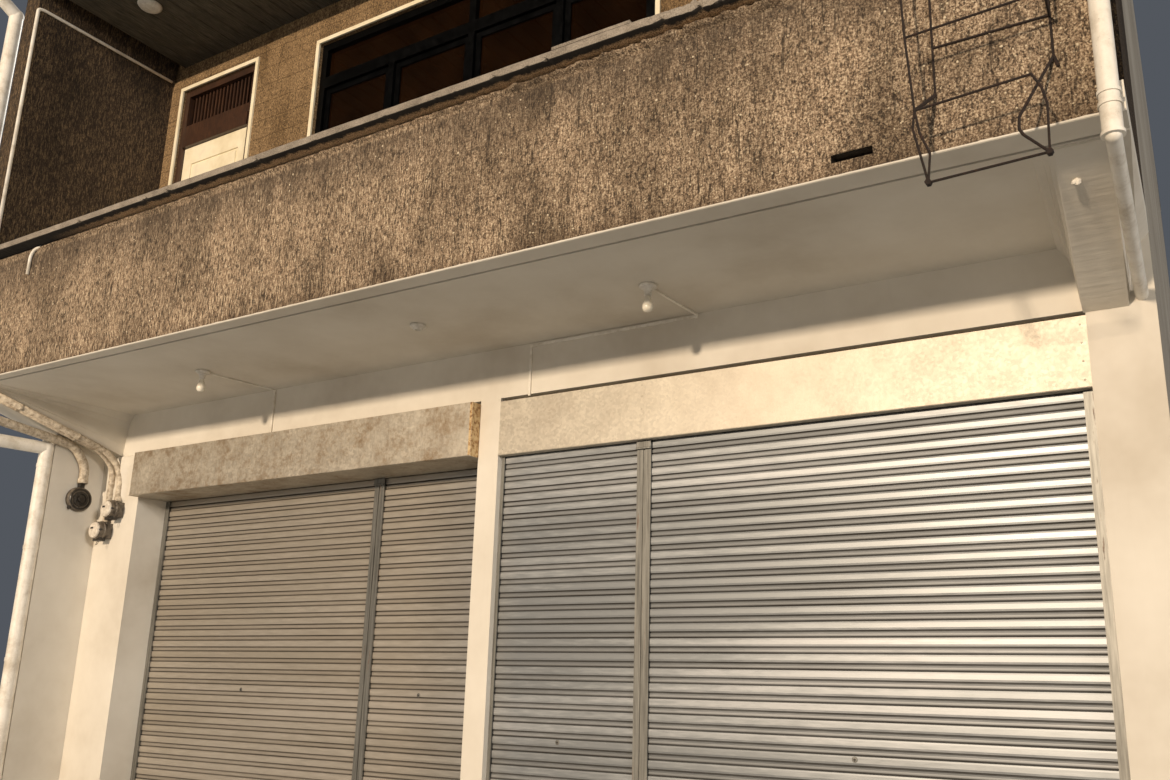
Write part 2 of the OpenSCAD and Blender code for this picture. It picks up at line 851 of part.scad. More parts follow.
module cable_mouldings() {
  half = moulding_w / 2;
  left = lamps[0] + [6, lamp_d / 2 + 4];
  right = lamps[2] + [3, lamp_d / 2 + 4];
  color("whitesmoke") place() {
    union() {
      soffit_moulding(left, [left_run_x, -half]);
      block([left_run_x - half - 2, -moulding_t, box_top], [left_run_x + half + 2, 0, soffit_z]);
    }
    union() {
      soffit_moulding(right, [right_turn_x, -half]);
      block([right_run_x, -moulding_t, soffit_z - 26], [right_turn_x, 0, soffit_z - 10]);
      block([right_turn_x - half - 2, -moulding_t, soffit_z - 28], [right_turn_x + half + 2, 0, soffit_z]);
      block([right_run_x, -moulding_t, box_top + 10], [right_run_x + moulding_w, 0, soffit_z - 10]);
    }
  }
}

module eave_light() {
  color("white") place() translate([1016, -680, eave_z - board_t - 36]) union() {
    cylinder(d = 170, h = 36);
    translate([0, 0, 26]) cylinder(d = 190, h = 10);
  }
}

// Round meters on the left column, as distances from the pier and heights
meters = [[295, 2735], [178, 2570]];
meter_out = 130;
meter_plate = 60;
old_base_d = 200;
old_base = [-185, 2820];

module electricity_meters() {
  color("gray") place() {
    for (m = meters) translate([party_t + m[0], 0, m[1]]) rotate([90, 0, 0]) {
      translate([-meter_plate, -meter_plate, 0]) cube([2 * meter_plate, 2 * meter_plate, 46]);
      cylinder(d = meter_d - 20, h = 60);
      translate([0, 0, 60]) cylinder(d = meter_d, h = meter_out - 70);
      translate([0, 0, meter_out - 10]) cylinder(d1 = meter_d, d2 = meter_d - 24, h = 10);
    }
    translate([party_t, old_base[0], old_base[1]]) rotate([0, 90, 0]) union() {
      cylinder(d = old_base_d, h = 44);
      cylinder(d = old_base_d - 40, h = 58);
    }
    translate([party_t, old_base[0] - 22, old_base[1] + old_base_d / 2 - 12]) cube([44, 44, 42]);
  }
}

// Plastic conduits that run under the bracket and turn down to the meters
module meter_conduits() {
  lip = 2;
  c = conduit_d / 2;
  low = c + lip + 1;
  wall_y = -c - lip - 0.3;
  x1 = party_t + meters[0][0];
  x2 = party_t + meters[1][0];
  foot = left_bay_x - 290;
  color("whitesmoke") place() {
    pipe([
      [foot - bracket_taper + 8, -bracket_run + 30, under_bracket(-bracket_run + 30) - low],
      [foot + 4, -150, under_bracket(-150) - low],
      [foot + 30, -50, under_bracket(0) - 90],
      [x1, wall_y, under_bracket(0) - 210],
      [x1, wall_y, meters[0][1] + meter_d / 2 - 10 + 0.3]
    ], conduit_d, lip);
    pipe([
      [x2 - bracket_taper, -bracket_run + 30, under_bracket(-bracket_run + 30) - low],
      [x2, -150, under_bracket(-150) - low],
      [x2, wall_y, under_bracket(0) - 110],
      [x2, wall_y, meters[1][1] + meter_d / 2 - 10 + 0.3]
    ], conduit_d, lip);
    pipe([
      [party_t + 38, -bracket_run + 30, under_bracket(-bracket_run + 30) - 60],
      [party_t + 38, -bracket_run + 110, under_bracket(0) + 142],
      [party_t + 38, -290, under_bracket(-290) - 40],
      [party_t + 38, old_base[0], under_bracket(0) - 120],
      [party_t + 38, old_base[0], old_base[1] + old_base_d / 2 + 30.3]
    ], 70, lip);
  }
}

// Bent rusty rods of an old sign frame, with its front rods a hand's width off its rear ones
sign_rear = -canopy - 6 - rod_d / 2 - 2.3;
sign_front = sign_rear - 166;
sign_top = parapet_top - 20;

module rod(points, d = rod_d) {
  for (i = [0 : len(points) - 2]) hull() for (q = [points[i], points[i + 1]])
    translate([q[0], q[1], soffit_z + q[2]]) sphere(d = d, $fn = 8);
}

module sign_frame() {
  f = sign_front;
  r = sign_rear;
  top = sign_top - soffit_z;
  color("saddlebrown") place() union() {
    rod([[7340, f, top], [7359, f, 435], [7382, f, 108], [7371, f, 35], [7419, f, -204]]);
    rod([[7382, f, 108], [7396, f, 11], [7431, f, -87], [7419, f, -204]]);
    rod([[7419, f, -204], [7849, f, -190]]);
    rod([[7359, f, 435], [7878, f, 457]]);
    rod([[7382, f, 108], [7810, f, 134], [7840, f, 72], [7855, f, 2], [7849, f, -190]]);
    rod([[7878, f, top], [7878, f, 457], [7875, r, 457]]);
    rod([[7340, f, top], [7878, f, top]]);
    rod([[7428, r, top], [7428, r, 253]]);
    rod([[7875, r, top], [7875, r, 288]]);
    rod([[7428, r, 466], [7875, r, 466]]);
    rod([[7428, r, top], [7340, f, top]]);
    rod([[7875, r, top], [7878, f, top]]);
    rod([[7428, r, 253], [7382, f, 108]], rod_d + 6);
    rod([[7875, r, 288], [7757, f, -25], [7753, f, -73], [7766, f, -100], [7849, f, -190]], rod_d + 2);
    rod([[7875, r, 288], [7888, r, 243]], rod_d + 4);
    for (q = [[7419, -204], [7849, -190]])
      translate([q[0], f - 12, soffit_z + q[1]]) rotate([-90, 0, 0]) cylinder(d = 26, h = 24, $fn = 6);
  }
}

ground_slab();
left_party_wall();
right_party_wall();
left_pier();
left_column();
centre_post();
right_column();
front_lintel();
left_shutter_box();
right_shutter_box();
left_wide_shutter();
left_narrow_shutter();
right_narrow_shutter();
right_wide_shutter();
shutter_guides();
balcony_slab();
left_bracket();
right_bracket();
parapet();
parapet_coping();
left_fin();
right_fin();
upper_floor();
front_wall_piers();
front_wall_bands();
opening_trims();
balcony_door_frame();
balcony_door_leaf();
window_frame();
window_glass();
rear_wall_piers();
rear_wall_bands();
rear_door();
rear_window_frames();
rear_window_glass();
wall_plates();
eave_soffit();
eave_fascias();
gutters();
roof_sheets();
ridge_cap();
left_downpipe();
right_downpipe();
lampholders();
lamp_bulbs();
cable_mouldings();
eave_light();
electricity_meters();
meter_conduits();
sign_frame();
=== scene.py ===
# %% [markdown]
# # A two-storey shop building, finished in Blender
#
# The building's exact shape comes from a CAD model that is loaded as a fixed frame. This script gives every
# surface its material and adds what is too fine or too rough for CAD: roughcast, mortar, boards, corrugations,
# rivets and pipes. It reads like a notebook. Each step first says what the real thing is and how it could be
# made, and then makes it.

# %% Load the fixed frame
import json
import math
import random

import bpy
from mathutils import Matrix, Vector, noise


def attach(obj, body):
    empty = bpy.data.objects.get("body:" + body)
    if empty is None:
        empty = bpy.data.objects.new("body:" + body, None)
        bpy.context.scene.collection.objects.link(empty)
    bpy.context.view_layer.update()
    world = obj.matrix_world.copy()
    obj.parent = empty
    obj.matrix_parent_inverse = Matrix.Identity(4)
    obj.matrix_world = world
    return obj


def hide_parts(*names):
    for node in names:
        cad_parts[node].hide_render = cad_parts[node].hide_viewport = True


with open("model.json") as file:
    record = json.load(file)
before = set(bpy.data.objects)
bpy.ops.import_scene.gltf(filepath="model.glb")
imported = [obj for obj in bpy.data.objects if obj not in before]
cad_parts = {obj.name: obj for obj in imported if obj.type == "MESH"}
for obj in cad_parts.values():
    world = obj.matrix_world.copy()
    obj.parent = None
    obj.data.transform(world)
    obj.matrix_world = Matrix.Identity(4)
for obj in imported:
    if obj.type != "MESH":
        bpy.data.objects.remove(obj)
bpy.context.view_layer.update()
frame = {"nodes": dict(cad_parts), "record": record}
print("CAD nodes:", len(frame["nodes"]))

# %% [markdown]
# ## Places on the building
#
# The drawings of a building are read in millimetres from its left front corner at street level, with x along
# the front, y into the building and z up. Blender's scene is in metres with the origin in the middle. One
# function turns the first into the second, so that every number below can be checked against the drawings.

# %% From drawing millimetres to scene metres
FRONT_W = 8100
FRONT_MIDDLE_X, FRONT_MIDDLE_Y = FRONT_W / 2, 3025


def at(x, y, z):
    """A place on the building in drawing millimetres, as a point of the scene."""
    return Vector(((x - FRONT_MIDDLE_X) / 1000, (y - FRONT_MIDDLE_Y) / 1000, z / 1000))


# Heights and depths that many pieces share. CANOPY is how far the balcony stands out
SOFFIT_Z, STRIP_TOP, PARAPET_TOP = 3537, 3547, 4492
CANOPY = 1172
PARAPET_FACE_Y = -CANOPY - 6
COPING_FRONT_Y = -CANOPY - 108
print("left front corner:", [round(v, 3) for v in at(0, 0, 0)])

# %% [markdown]
# ## The camera
#
# The picture is taken from the pavement with a wide lens that looks up and to the left. Its place and its three
# directions were found from the building's own lines: all level lines along the front meet in one point of the
# picture, and so do the uprights. Blender's camera looks along its own -Z with +Y up, so the three directions
# are the columns of its matrix. The lens's axis doesn't go through the middle of the picture, and the small
# shift says by how much.

# %% Camera at the picture's own place
PICTURE_W, PICTURE_H = 1170, 780  # pixels
FOCAL_PX = 987.7
AXIS_PX = (651.4, 425.4)  # where the lens's axis meets the picture

ahead = Vector((-0.4808, 0.8438, 0.2382)).normalized()
aside = Vector((0.8704, 0.4922, 0.0127))
aside = (aside - ahead * aside.dot(ahead)).normalized()
above = aside.cross(ahead)

camera_data = bpy.data.cameras.new("street_camera")
camera_data.sensor_width = 36
camera_data.lens = 36 * FOCAL_PX / PICTURE_W
camera_data.shift_x = (PICTURE_W / 2 - AXIS_PX[0]) / PICTURE_W
camera_data.shift_y = (AXIS_PX[1] - PICTURE_H / 2) / PICTURE_W
camera_data.clip_start = 0.05
camera_data.clip_end = 200
camera = bpy.data.objects.new("street_camera", camera_data)
turn = Matrix((aside, above, -ahead)).transposed()
camera.matrix_world = Matrix.Translation(at(8200, -4800, 1550)) @ turn.to_4x4()
bpy.context.scene.collection.objects.link(camera)
bpy.context.scene.camera = camera
print("lens", round(camera_data.lens, 2), "mm, shift", round(camera_data.shift_x, 4), round(camera_data.shift_y, 4))

# %% [markdown]
# ## Colours and nodes
#
# Colours are written as the sRGB hex values that a paint card or a picture editor shows. The shaders work with
# linear light, so one function turns hex into linear. A second small function adds a node to a material's tree
# with its options, its values and its links, which keeps each material down to a list of what it is made of.

# %% One function for colours, one for nodes
def linear(hex_colour):
    """An sRGB hex colour as the linear RGBA that a shader takes."""
    parts = [int(hex_colour[i:i + 2], 16) / 255 for i in (1, 3, 5)]
    return [c / 12.92 if c <= 0.04045 else ((c + 0.055) / 1.055) ** 2.4 for c in parts] + [1.0]


def add(tree, kind, sockets=None, stops=None, **options):
    """Adds a node. Sockets take numbers, hex colours, other nodes (their first live output) or outputs."""
    node = tree.nodes.new("ShaderNode" + kind)
    for option, value in options.items():
        setattr(node, option, value)
    for name, value in (sockets or {}).items():
        if isinstance(value, bpy.types.Node):
            value = next(output for output in value.outputs if output.enabled)
        if isinstance(value, bpy.types.NodeSocket):
            tree.links.new(value, node.inputs[name])
        else:
            node.inputs[name].default_value = linear(value) if isinstance(value, str) else value
    if stops:
        ramp = node.color_ramp
        while len(ramp.elements) < len(stops):
            ramp.elements.new(0.5)
        for element, (place, colour) in zip(ramp.elements, stops):
            element.position = place
            element.color = linear(colour)
    return node


def per(millimetres):
    """The scale that makes a pattern's features about this many millimetres across."""
    return 1000 / millimetres


print("mid grey #808080 is", round(linear("#808080")[0], 3), "in linear light")

# %% [markdown]
# ## Starting a finish
#
# Every finish starts the same way: a Principled shader with the colour, roughness and metallic value that are
# usual for the real material, and the place on the building in metres, from which all the patterns are drawn.
# As the place is in metres, a pattern keeps its true size on every piece that it is on.

# %% The start of every finish
def start_finish(name, roughness, metallic=0.0, ior=None):
    """A new material, its tree, its shader and the place on the building in metres. A metal keeps the usual IOR."""
    finish = bpy.data.materials.new(name)
    finish.use_nodes = True
    tree = finish.node_tree
    shader = tree.nodes["Principled BSDF"]
    shader.inputs["Roughness"].default_value = roughness
    shader.inputs["Metallic"].default_value = metallic
    if ior:
        shader.inputs["IOR"].default_value = ior
    place = add(tree, "TexCoord").outputs["Object"]
    return finish, tree, shader, place


finishes = {}

# %% [markdown]
# ## White painted plaster
#
# The columns, the lintel, the brackets and the underside of the balcony are cement plaster, floated smooth by
# hand and rolled with white masonry paint. That gives the eye a matt, nearly even white with broad soft blotches,
# a slight wave from the float, thin runs of dirt and a grey splash zone near the street. A flat white would look
# like cardboard, so each of these is one soft noise at its own real size.

# %% Finish: white_plaster
def painted_plaster(name, ripple_depth=0.0015):
    finish, tree, shader, place = start_finish(name, roughness=0.78, ior=1.5)
    blotch = add(tree, "TexNoise", {"Vector": place, "Scale": per(900), "Detail": 5.0, "Roughness": 0.6})
    paint = add(tree, "ValToRGB", {"Fac": blotch},
                stops=[(0.30, "#c4bbab"), (0.50, "#d5cec0"), (0.72, "#e0dacd")])
    # Dirt runs are about 40 mm wide and twelve times as long
    drawn_down = add(tree, "Mapping", {"Vector": place, "Scale": (1.0, 1.0, 0.08)})
    runs = add(tree, "TexNoise", {"Vector": drawn_down, "Scale": per(40), "Detail": 4.0, "Roughness": 0.7})
    run_mask = add(tree, "ValToRGB", {"Fac": runs}, stops=[(0.56, "#000000"), (0.80, "#383838")])
    dirty = add(tree, "Mix", {"Factor": run_mask, 6: paint, 7: "#8f826e"}, data_type="RGBA")
    # The street's splash zone fades out at about half a metre
    height = add(tree, "SeparateXYZ", {"Vector": place}).outputs["Z"]
    splash = add(tree, "MapRange", {"Value": height, 1: 0.05, 2: 0.55, 3: 0.55, 4: 0.0})
    broken = add(tree, "Math", {0: splash, 1: runs}, operation="MULTIPLY")
    splashed = add(tree, "Mix", {"Factor": broken, 6: dirty, 7: "#7b6f5e"}, data_type="RGBA")
    tree.links.new(splashed.outputs[2], shader.inputs["Base Color"])
    # The float leaves waves about 160 mm long, the roller a stipple of about 5 mm
    wave = add(tree, "TexNoise", {"Vector": place, "Scale": per(160), "Detail": 2.0})
    stipple = add(tree, "TexNoise", {"Vector": place, "Scale": per(5), "Detail": 2.0})
    waved = add(tree, "Bump", {"Height": wave, "Strength": 0.6, "Distance": ripple_depth * 2})
    bumped = add(tree, "Bump", {"Height": stipple, "Strength": 0.25, "Distance": 0.0006, "Normal": waved})
    tree.links.new(bumped.outputs[0], shader.inputs["Normal"])
    return finish, tree, shader, place, bumped


finishes["white_plaster"] = painted_plaster("white_painted_plaster")[0]
print("made", finishes["white_plaster"].name)

# %% [markdown]
# ## Hand-floated ripples under the bracket
#
# The right bracket was plastered from below, stroke by stroke. Its face has faint level ripples 25 to 45 mm
# apart that come and go. It takes the same paint, with a noise stretched along the front added to the bump.
# A noise gives strokes that start and end like those of a hand, and even bands would look like steps.

# %% Finish: the rippled bracket
rippled, tree, shader, place, smooth_bump = painted_plaster("rippled_white_plaster")
stroke_place = add(tree, "Mapping", {"Vector": place, "Scale": (0.16, 1.0, 1.0)})
strokes = add(tree, "TexNoise", {"Vector": stroke_place, "Scale": per(34), "Detail": 2.0, "Roughness": 0.5})
ripple = add(tree, "Bump", {"Height": strokes, "Strength": 0.6, "Distance": 0.005, "Normal": smooth_bump})
tree.links.new(ripple.outputs[0], shader.inputs["Normal"])
print("made", rippled.name)

# %% [markdown]
# ## Weathered roughcast
#
# The parapet and the fins are covered with roughcast: mortar with small stones, combed downwards while wet and
# never painted. Decades of rain have left it warm brown with dark grains, pale worn tips and a few white pebbles.
# Seen close, the strokes are about 7 mm wide and six times as long, as the comb drew them down. A noise that is
# squeezed in height gives the strokes, a cell pattern gives the stones, and broad noises give the stains.
# The black growth under the coping fades out downwards.

# %% Finish: roughcast
def roughcast(name, dark, middle, light, growth, pebble_share=0.93, bump_depth=0.005, stretch=0.16):
    finish, tree, shader, place = start_finish(name, roughness=0.95, ior=1.45)
    # Strokes of the comb: 7 mm wide and about six times as long
    combed = add(tree, "Mapping", {"Vector": place, "Scale": (1.0, 1.0, stretch)})
    strokes = add(tree, "TexNoise", {"Vector": combed, "Scale": per(7), "Detail": 3.0, "Roughness": 0.7})
    # Grains of 9 mm between the strokes; towards the right they take over, as the coat is pebblier there
    grains = add(tree, "TexNoise", {"Vector": place, "Scale": per(9), "Detail": 3.0, "Roughness": 0.75})
    along = add(tree, "SeparateXYZ", {"Vector": place}).outputs["X"]
    grain_share = add(tree, "MapRange", {"Value": along, 1: -1.0, 2: 3.2, 3: 0.30, 4: 0.72})
    texture = add(tree, "Mix", {"Factor": grain_share, 2: strokes, 3: grains}, data_type="FLOAT")
    colour = add(tree, "ValToRGB", {"Fac": texture}, stops=[(0.38, dark), (0.50, middle), (0.62, light)])
    # Pits of 17 mm, where stones have dropped out and dirt stays
    pit_place = add(tree, "Mapping", {"Vector": place, "Scale": (1.0, 1.0, 0.5)})
    pits = add(tree, "TexNoise", {"Vector": pit_place, "Scale": per(17), "Detail": 4.0, "Roughness": 0.7})
    pit_mask = add(tree, "ValToRGB", {"Fac": pits}, stops=[(0.38, "#e0e0e0"), (0.46, "#000000")])
    pitted = add(tree, "Mix", {"Factor": pit_mask, 6: colour, 7: dark}, data_type="RGBA")
    # Stains: greyer and darker fields about 400 mm across, drawn downwards
    field_place = add(tree, "Mapping", {"Vector": place, "Scale": (1.0, 1.0, 0.4)})
    fields = add(tree, "TexNoise", {"Vector": field_place, "Scale": per(380), "Detail": 8.0, "Roughness": 0.7})
    field_shift = add(tree, "MapRange", {"Value": along, 1: -4.0, 2: 3.5, 3: -0.05, 4: 0.02})
    shifted = add(tree, "Math", {0: fields, 1: field_shift}, operation="ADD")
    field_mask = add(tree, "ValToRGB", {"Fac": shifted}, stops=[(0.42, "#000000"), (0.62, "#e2e2e2")])
    stained = add(tree, "Mix", {"Factor": field_mask, 6: pitted, 7: growth}, data_type="RGBA",
                  blend_type="MULTIPLY")
    # Runs of dark growth, 24 mm wide and eleven times as long
    run_place = add(tree, "Mapping", {"Vector": place, "Scale": (1.0, 1.0, 0.09)})
    runs = add(tree, "TexNoise", {"Vector": run_place, "Scale": per(24), "Detail": 4.0, "Roughness": 0.7})
    run_mask = add(tree, "ValToRGB", {"Fac": runs}, stops=[(0.57, "#000000"), (0.72, "#b0b0b0")])
    run_down = add(tree, "Mix", {"Factor": run_mask, 6: stained, 7: dark}, data_type="RGBA")
    # Hairline cracks and drips: only the thin crests of a 13 mm noise that is drawn out 22 times
    crack_place = add(tree, "Mapping", {"Vector": place, "Scale": (1.0, 1.0, 0.045)})
    hairs = add(tree, "TexNoise", {"Vector": crack_place, "Scale": per(13), "Detail": 2.0, "Roughness": 0.5})
    hair_mask = add(tree, "ValToRGB", {"Fac": hairs}, stops=[(0.655, "#000000"), (0.69, "#d8d8d8")])
    cracked = add(tree, "Mix", {"Factor": hair_mask, 6: run_down, 7: dark}, data_type="RGBA")
    # Stones 14 mm across; the palest few are white quartz
    stones = add(tree, "TexVoronoi", {"Vector": place, "Scale": per(14), "Randomness": 1.0})
    pick = add(tree, "SeparateColor", {"Color": stones.outputs["Color"]}).outputs["Red"]
    chosen = add(tree, "MapRange", {"Value": pick, 1: pebble_share, 2: pebble_share + 0.01, 3: 0.0, 4: 1.0})
    core = add(tree, "MapRange", {"Value": stones.outputs["Distance"], 1: 0.34, 2: 0.24, 3: 0.0, 4: 0.6})
    quartz = add(tree, "Math", {0: chosen, 1: core}, operation="MULTIPLY")
    pebbled = add(tree, "Mix", {"Factor": quartz, 6: cracked, 7: "#b3a282"}, data_type="RGBA")
    tree.links.new(pebbled.outputs[2], shader.inputs["Base Color"])
    relief = add(tree, "Math", {0: pits, 1: 0.8, 2: texture}, operation="MULTIPLY_ADD")
    grain_bump = add(tree, "Bump", {"Height": relief, "Strength": 1.0, "Distance": bump_depth})
    stone_height = add(tree, "MapRange", {"Value": stones.outputs["Distance"], 1: 0.0, 2: 0.5, 3: 1.0, 4: 0.0})
    stone_bump = add(tree, "Bump", {"Height": stone_height, "Strength": 0.3, "Distance": bump_depth * 0.5,
                                    "Normal": grain_bump})
    tree.links.new(stone_bump.outputs[0], shader.inputs["Normal"])
    return finish, tree, shader, place, pebbled


# The fins take the same roughcast far darker all over: painted shade, as the fins stand in shade
finishes["roughcast"] = roughcast(
    "shade_darkened_roughcast", dark="#181109", middle="#3f3122", light="#7c674b", growth="#85806f", pebble_share=0.985)[0]
parapet_roughcast, tree, shader, place, pebbled = roughcast(
    "parapet_roughcast", dark="#2a2118", middle="#927c64", light="#dac7aa", growth="#8f8b84")
# Black growth hangs from the coping, and a browner one sits in the last centimetres above the edge
height = add(tree, "SeparateXYZ", {"Vector": place}).outputs["Z"]
ragged_place = add(tree, "Mapping", {"Vector": place, "Scale": (1.0, 1.0, 0.2)})
ragged = add(tree, "TexNoise", {"Vector": ragged_place, "Scale": per(60), "Detail": 6.0, "Roughness": 0.75})
under_coping = add(tree, "MapRange", {"Value": height, 1: 3.95, 2: 4.47, 3: -0.22, 4: 0.56})
hang = add(tree, "Math", {0: under_coping, 1: ragged}, operation="ADD")
hang_share = add(tree, "MapRange", {"Value": hang, 1: 0.55, 2: 1.15, 3: 0.0, 4: 0.8})
below_ridge = add(tree, "MapRange", {"Value": height, 1: 4.425, 2: 4.445, 3: 1.0, 4: 0.25})
hang_mask = add(tree, "Math", {0: hang_share, 1: below_ridge}, operation="MULTIPLY")
black_top = add(tree, "Mix", {"Factor": hang_mask, 6: pebbled, 7: "#352c23"}, data_type="RGBA")
at_foot = add(tree, "MapRange", {"Value": height, 1: 3.54, 2: 3.70, 3: 0.50, 4: -0.2})
foot = add(tree, "Math", {0: at_foot, 1: ragged}, operation="ADD")
foot_mask = add(tree, "MapRange", {"Value": foot, 1: 0.70, 2: 1.20, 3: 0.0, 4: 0.6})
brown_foot = add(tree, "Mix", {"Factor": foot_mask, 6: black_top, 7: "#3f2d1c"}, data_type="RGBA")
tree.links.new(brown_foot.outputs[2], shader.inputs["Base Color"])
print("made", finishes["roughcast"].name, "and", parapet_roughcast.name)

# %% [markdown]
# ## Brown render with score lines
#
# The upper wall is a finer roughcast, painted tan-brown long ago. Level lines were scored into it with a trowel's
# edge every 165 mm, to look like courses of stone. The line is a function of the height alone: the height divided
# by the course, of which only the fraction is kept, is small just at each line.

# %% Finish: brown_render
finish, tree, shader, place, worn = roughcast(
    "scored_brown_render", dark="#3f301d", middle="#80684a", light="#b3966c", growth="#a39a84",
    pebble_share=0.975, bump_depth=0.003, stretch=0.4)
COURSE_MM, SCORE_MM = 165, 9
height = add(tree, "SeparateXYZ", {"Vector": place}).outputs["Z"]
wobble = add(tree, "TexNoise", {"Vector": place, "Scale": per(350), "Detail": 2.0})
uneven = add(tree, "Math", {0: wobble, 1: 0.016, 2: height}, operation="MULTIPLY_ADD")
courses = add(tree, "Math", {0: uneven, 1: 1000 / COURSE_MM}, operation="MULTIPLY")
phase = add(tree, "Math", {0: courses}, operation="FRACT")
line = add(tree, "MapRange", {"Value": phase, 1: 0.0, 2: SCORE_MM / COURSE_MM, 3: 1.0, 4: 0.0},
           interpolation_type="SMOOTHSTEP")
lined = add(tree, "Mix", {"Factor": add(tree, "Math", {0: line, 1: 0.75}, operation="MULTIPLY"),
                          6: worn, 7: "#43301c"}, data_type="RGBA")
tree.links.new(lined.outputs[2], shader.inputs["Base Color"])
groove = add(tree, "Bump", {"Height": line, "Strength": 0.8, "Distance": 0.004,
                            "Normal": shader.inputs["Normal"].links[0].from_socket}, invert=True)
tree.links.new(groove.outputs[0], shader.inputs["Normal"])
finishes["brown_render"] = finish
print("made", finish.name, "with a line every", COURSE_MM, "mm")

# %% [markdown]
# ## Cement render and floor slabs
#
# The party walls and the slabs are plain cement work. Grey render shows the day's work as broad fields, darker
# where rain runs down from the roof, with fine sand grain. Faint courses of the 200 mm blocks under it telegraph
# through. Nothing is painted, so the roughness is high.

# %% Finish: concrete
BLOCK_MM = 200
finish, tree, shader, place = start_finish("grey_cement_render", roughness=0.9, ior=1.5)
days = add(tree, "TexNoise", {"Vector": place, "Scale": per(1400), "Detail": 6.0, "Roughness": 0.62})
cement = add(tree, "ValToRGB", {"Fac": days}, stops=[(0.32, "#7f786c"), (0.50, "#979084"), (0.70, "#aba598")])
drawn_down = add(tree, "Mapping", {"Vector": place, "Scale": (1.0, 1.0, 0.07)})
runs = add(tree, "TexNoise", {"Vector": drawn_down, "Scale": per(70), "Detail": 6.0, "Roughness": 0.7})
run_mask = add(tree, "ValToRGB", {"Fac": runs}, stops=[(0.52, "#000000"), (0.78, "#8a8a8a")])
height = add(tree, "SeparateXYZ", {"Vector": place}).outputs["Z"]
wet = add(tree, "MapRange", {"Value": height, 1: 3.0, 2: 8.0, 3: 0.35, 4: 1.0})
running = add(tree, "Math", {0: run_mask, 1: wet}, operation="MULTIPLY")
stained = add(tree, "Mix", {"Factor": running, 6: cement, 7: "#4f483e"}, data_type="RGBA")
courses = add(tree, "Math", {0: height, 1: 1000 / BLOCK_MM}, operation="MULTIPLY")
blocks = add(tree, "Math", {0: courses}, operation="FRACT")
bed = add(tree, "MapRange", {"Value": blocks, 1: 0.0, 2: 0.07, 3: 0.22, 4: 0.0}, interpolation_type="SMOOTHSTEP")
bedded = add(tree, "Mix", {"Factor": bed, 6: stained, 7: "#5c554a"}, data_type="RGBA")
sand = add(tree, "TexNoise", {"Vector": place, "Scale": per(6), "Detail": 3.0, "Roughness": 0.7})
sandy = add(tree, "Mix", {"Factor": 0.22, 6: bedded, 7: add(tree, "ValToRGB", {"Fac": sand}, stops=[
    (0.35, "#5d564b"), (0.65, "#bdb6a8")])}, data_type="RGBA")
tree.links.new(sandy.outputs[2], shader.inputs["Base Color"])
floated = add(tree, "Bump", {"Height": days, "Strength": 0.5, "Distance": 0.012})
bumped = add(tree, "Bump", {"Height": sand, "Strength": 0.5, "Distance": 0.0012, "Normal": floated})
tree.links.new(bumped.outputs[0], shader.inputs["Normal"])
finishes["concrete"] = finish
print("made", finish.name)

# %% [markdown]
# ## Coping mortar
#
# The coping is a cap of grey mortar, struck off by hand. Its top holds dirt and lichen, its broken edges show
# the paler aggregate. Two noises at 25 mm and 7 mm make the coarse surface.

# %% Finish: coping_mortar
finish, tree, shader, place = start_finish("grey_coping_mortar", roughness=0.92, ior=1.5)
patches = add(tree, "TexNoise", {"Vector": place, "Scale": per(120), "Detail": 8.0, "Roughness": 0.7})
mortar = add(tree, "ValToRGB", {"Fac": patches}, stops=[(0.30, "#4e463c"), (0.48, "#7d7367"), (0.68, "#9c9285")])
grit = add(tree, "TexNoise", {"Vector": place, "Scale": per(7), "Detail": 4.0, "Roughness": 0.75})
gritty = add(tree, "Mix", {"Factor": 0.35, 6: mortar, 7: add(tree, "ValToRGB", {"Fac": grit}, stops=[
    (0.38, "#4a4138"), (0.62, "#c4baa8")])}, data_type="RGBA")
# Its underside is black: partly dirt that rain has never washed off, partly painted shade, as every face that looks
# downwards is darkened. The surface's own direction tells which part that is
facing = add(tree, "SeparateXYZ", {"Vector": add(tree, "NewGeometry").outputs["True Normal"]}).outputs["Z"]
underside_dirt_and_shade = add(tree, "MapRange", {"Value": facing, 1: -0.30, 2: -0.75, 3: 0.0, 4: 0.95})
# The brown slurry of the wall's coat has been carried up under its back half, with an edge that wanders by 30 mm
where = add(tree, "SeparateXYZ", {"Vector": place})
wander = add(tree, "TexNoise", {"Vector": place, "Scale": per(70), "Detail": 6.0, "Roughness": 0.75})
depth = add(tree, "Math", {0: wander, 1: 0.10, 2: where.outputs["Y"]}, operation="MULTIPLY_ADD")
FRONT_EDGE = at(0, COPING_FRONT_Y, 0).y
carried = add(tree, "MapRange", {"Value": depth, 1: FRONT_EDGE + 0.088, 2: FRONT_EDGE + 0.108, 3: 0.0, 4: 1.0})
rightward = add(tree, "MapRange", {"Value": where.outputs["X"], 1: -2.9, 2: -2.1, 3: 0.0, 4: 1.0})
slurry = add(tree, "Math", {0: carried, 1: rightward}, operation="MULTIPLY")
brown = add(tree, "ValToRGB", {"Fac": grit}, stops=[(0.40, "#5c462e"), (0.60, "#d0ad82")])
grime_shade_and_slurry = add(tree, "Mix", {"Factor": slurry, 6: "#100c08", 7: brown}, data_type="RGBA")
grimed_and_shaded = add(tree, "Mix", {"Factor": underside_dirt_and_shade, 6: gritty, 7: grime_shade_and_slurry}, data_type="RGBA")
tree.links.new(grimed_and_shaded.outputs[2], shader.inputs["Base Color"])
lumps = add(tree, "TexNoise", {"Vector": place, "Scale": per(25), "Detail": 4.0})
lumpy = add(tree, "Bump", {"Height": lumps, "Strength": 0.7, "Distance": 0.006})
bumped = add(tree, "Bump", {"Height": grit, "Strength": 0.6, "Distance": 0.0015, "Normal": lumpy})
tree.links.new(bumped.outputs[0], shader.inputs["Normal"])
finishes["coping_mortar"] = finish
print("made", finish.name)

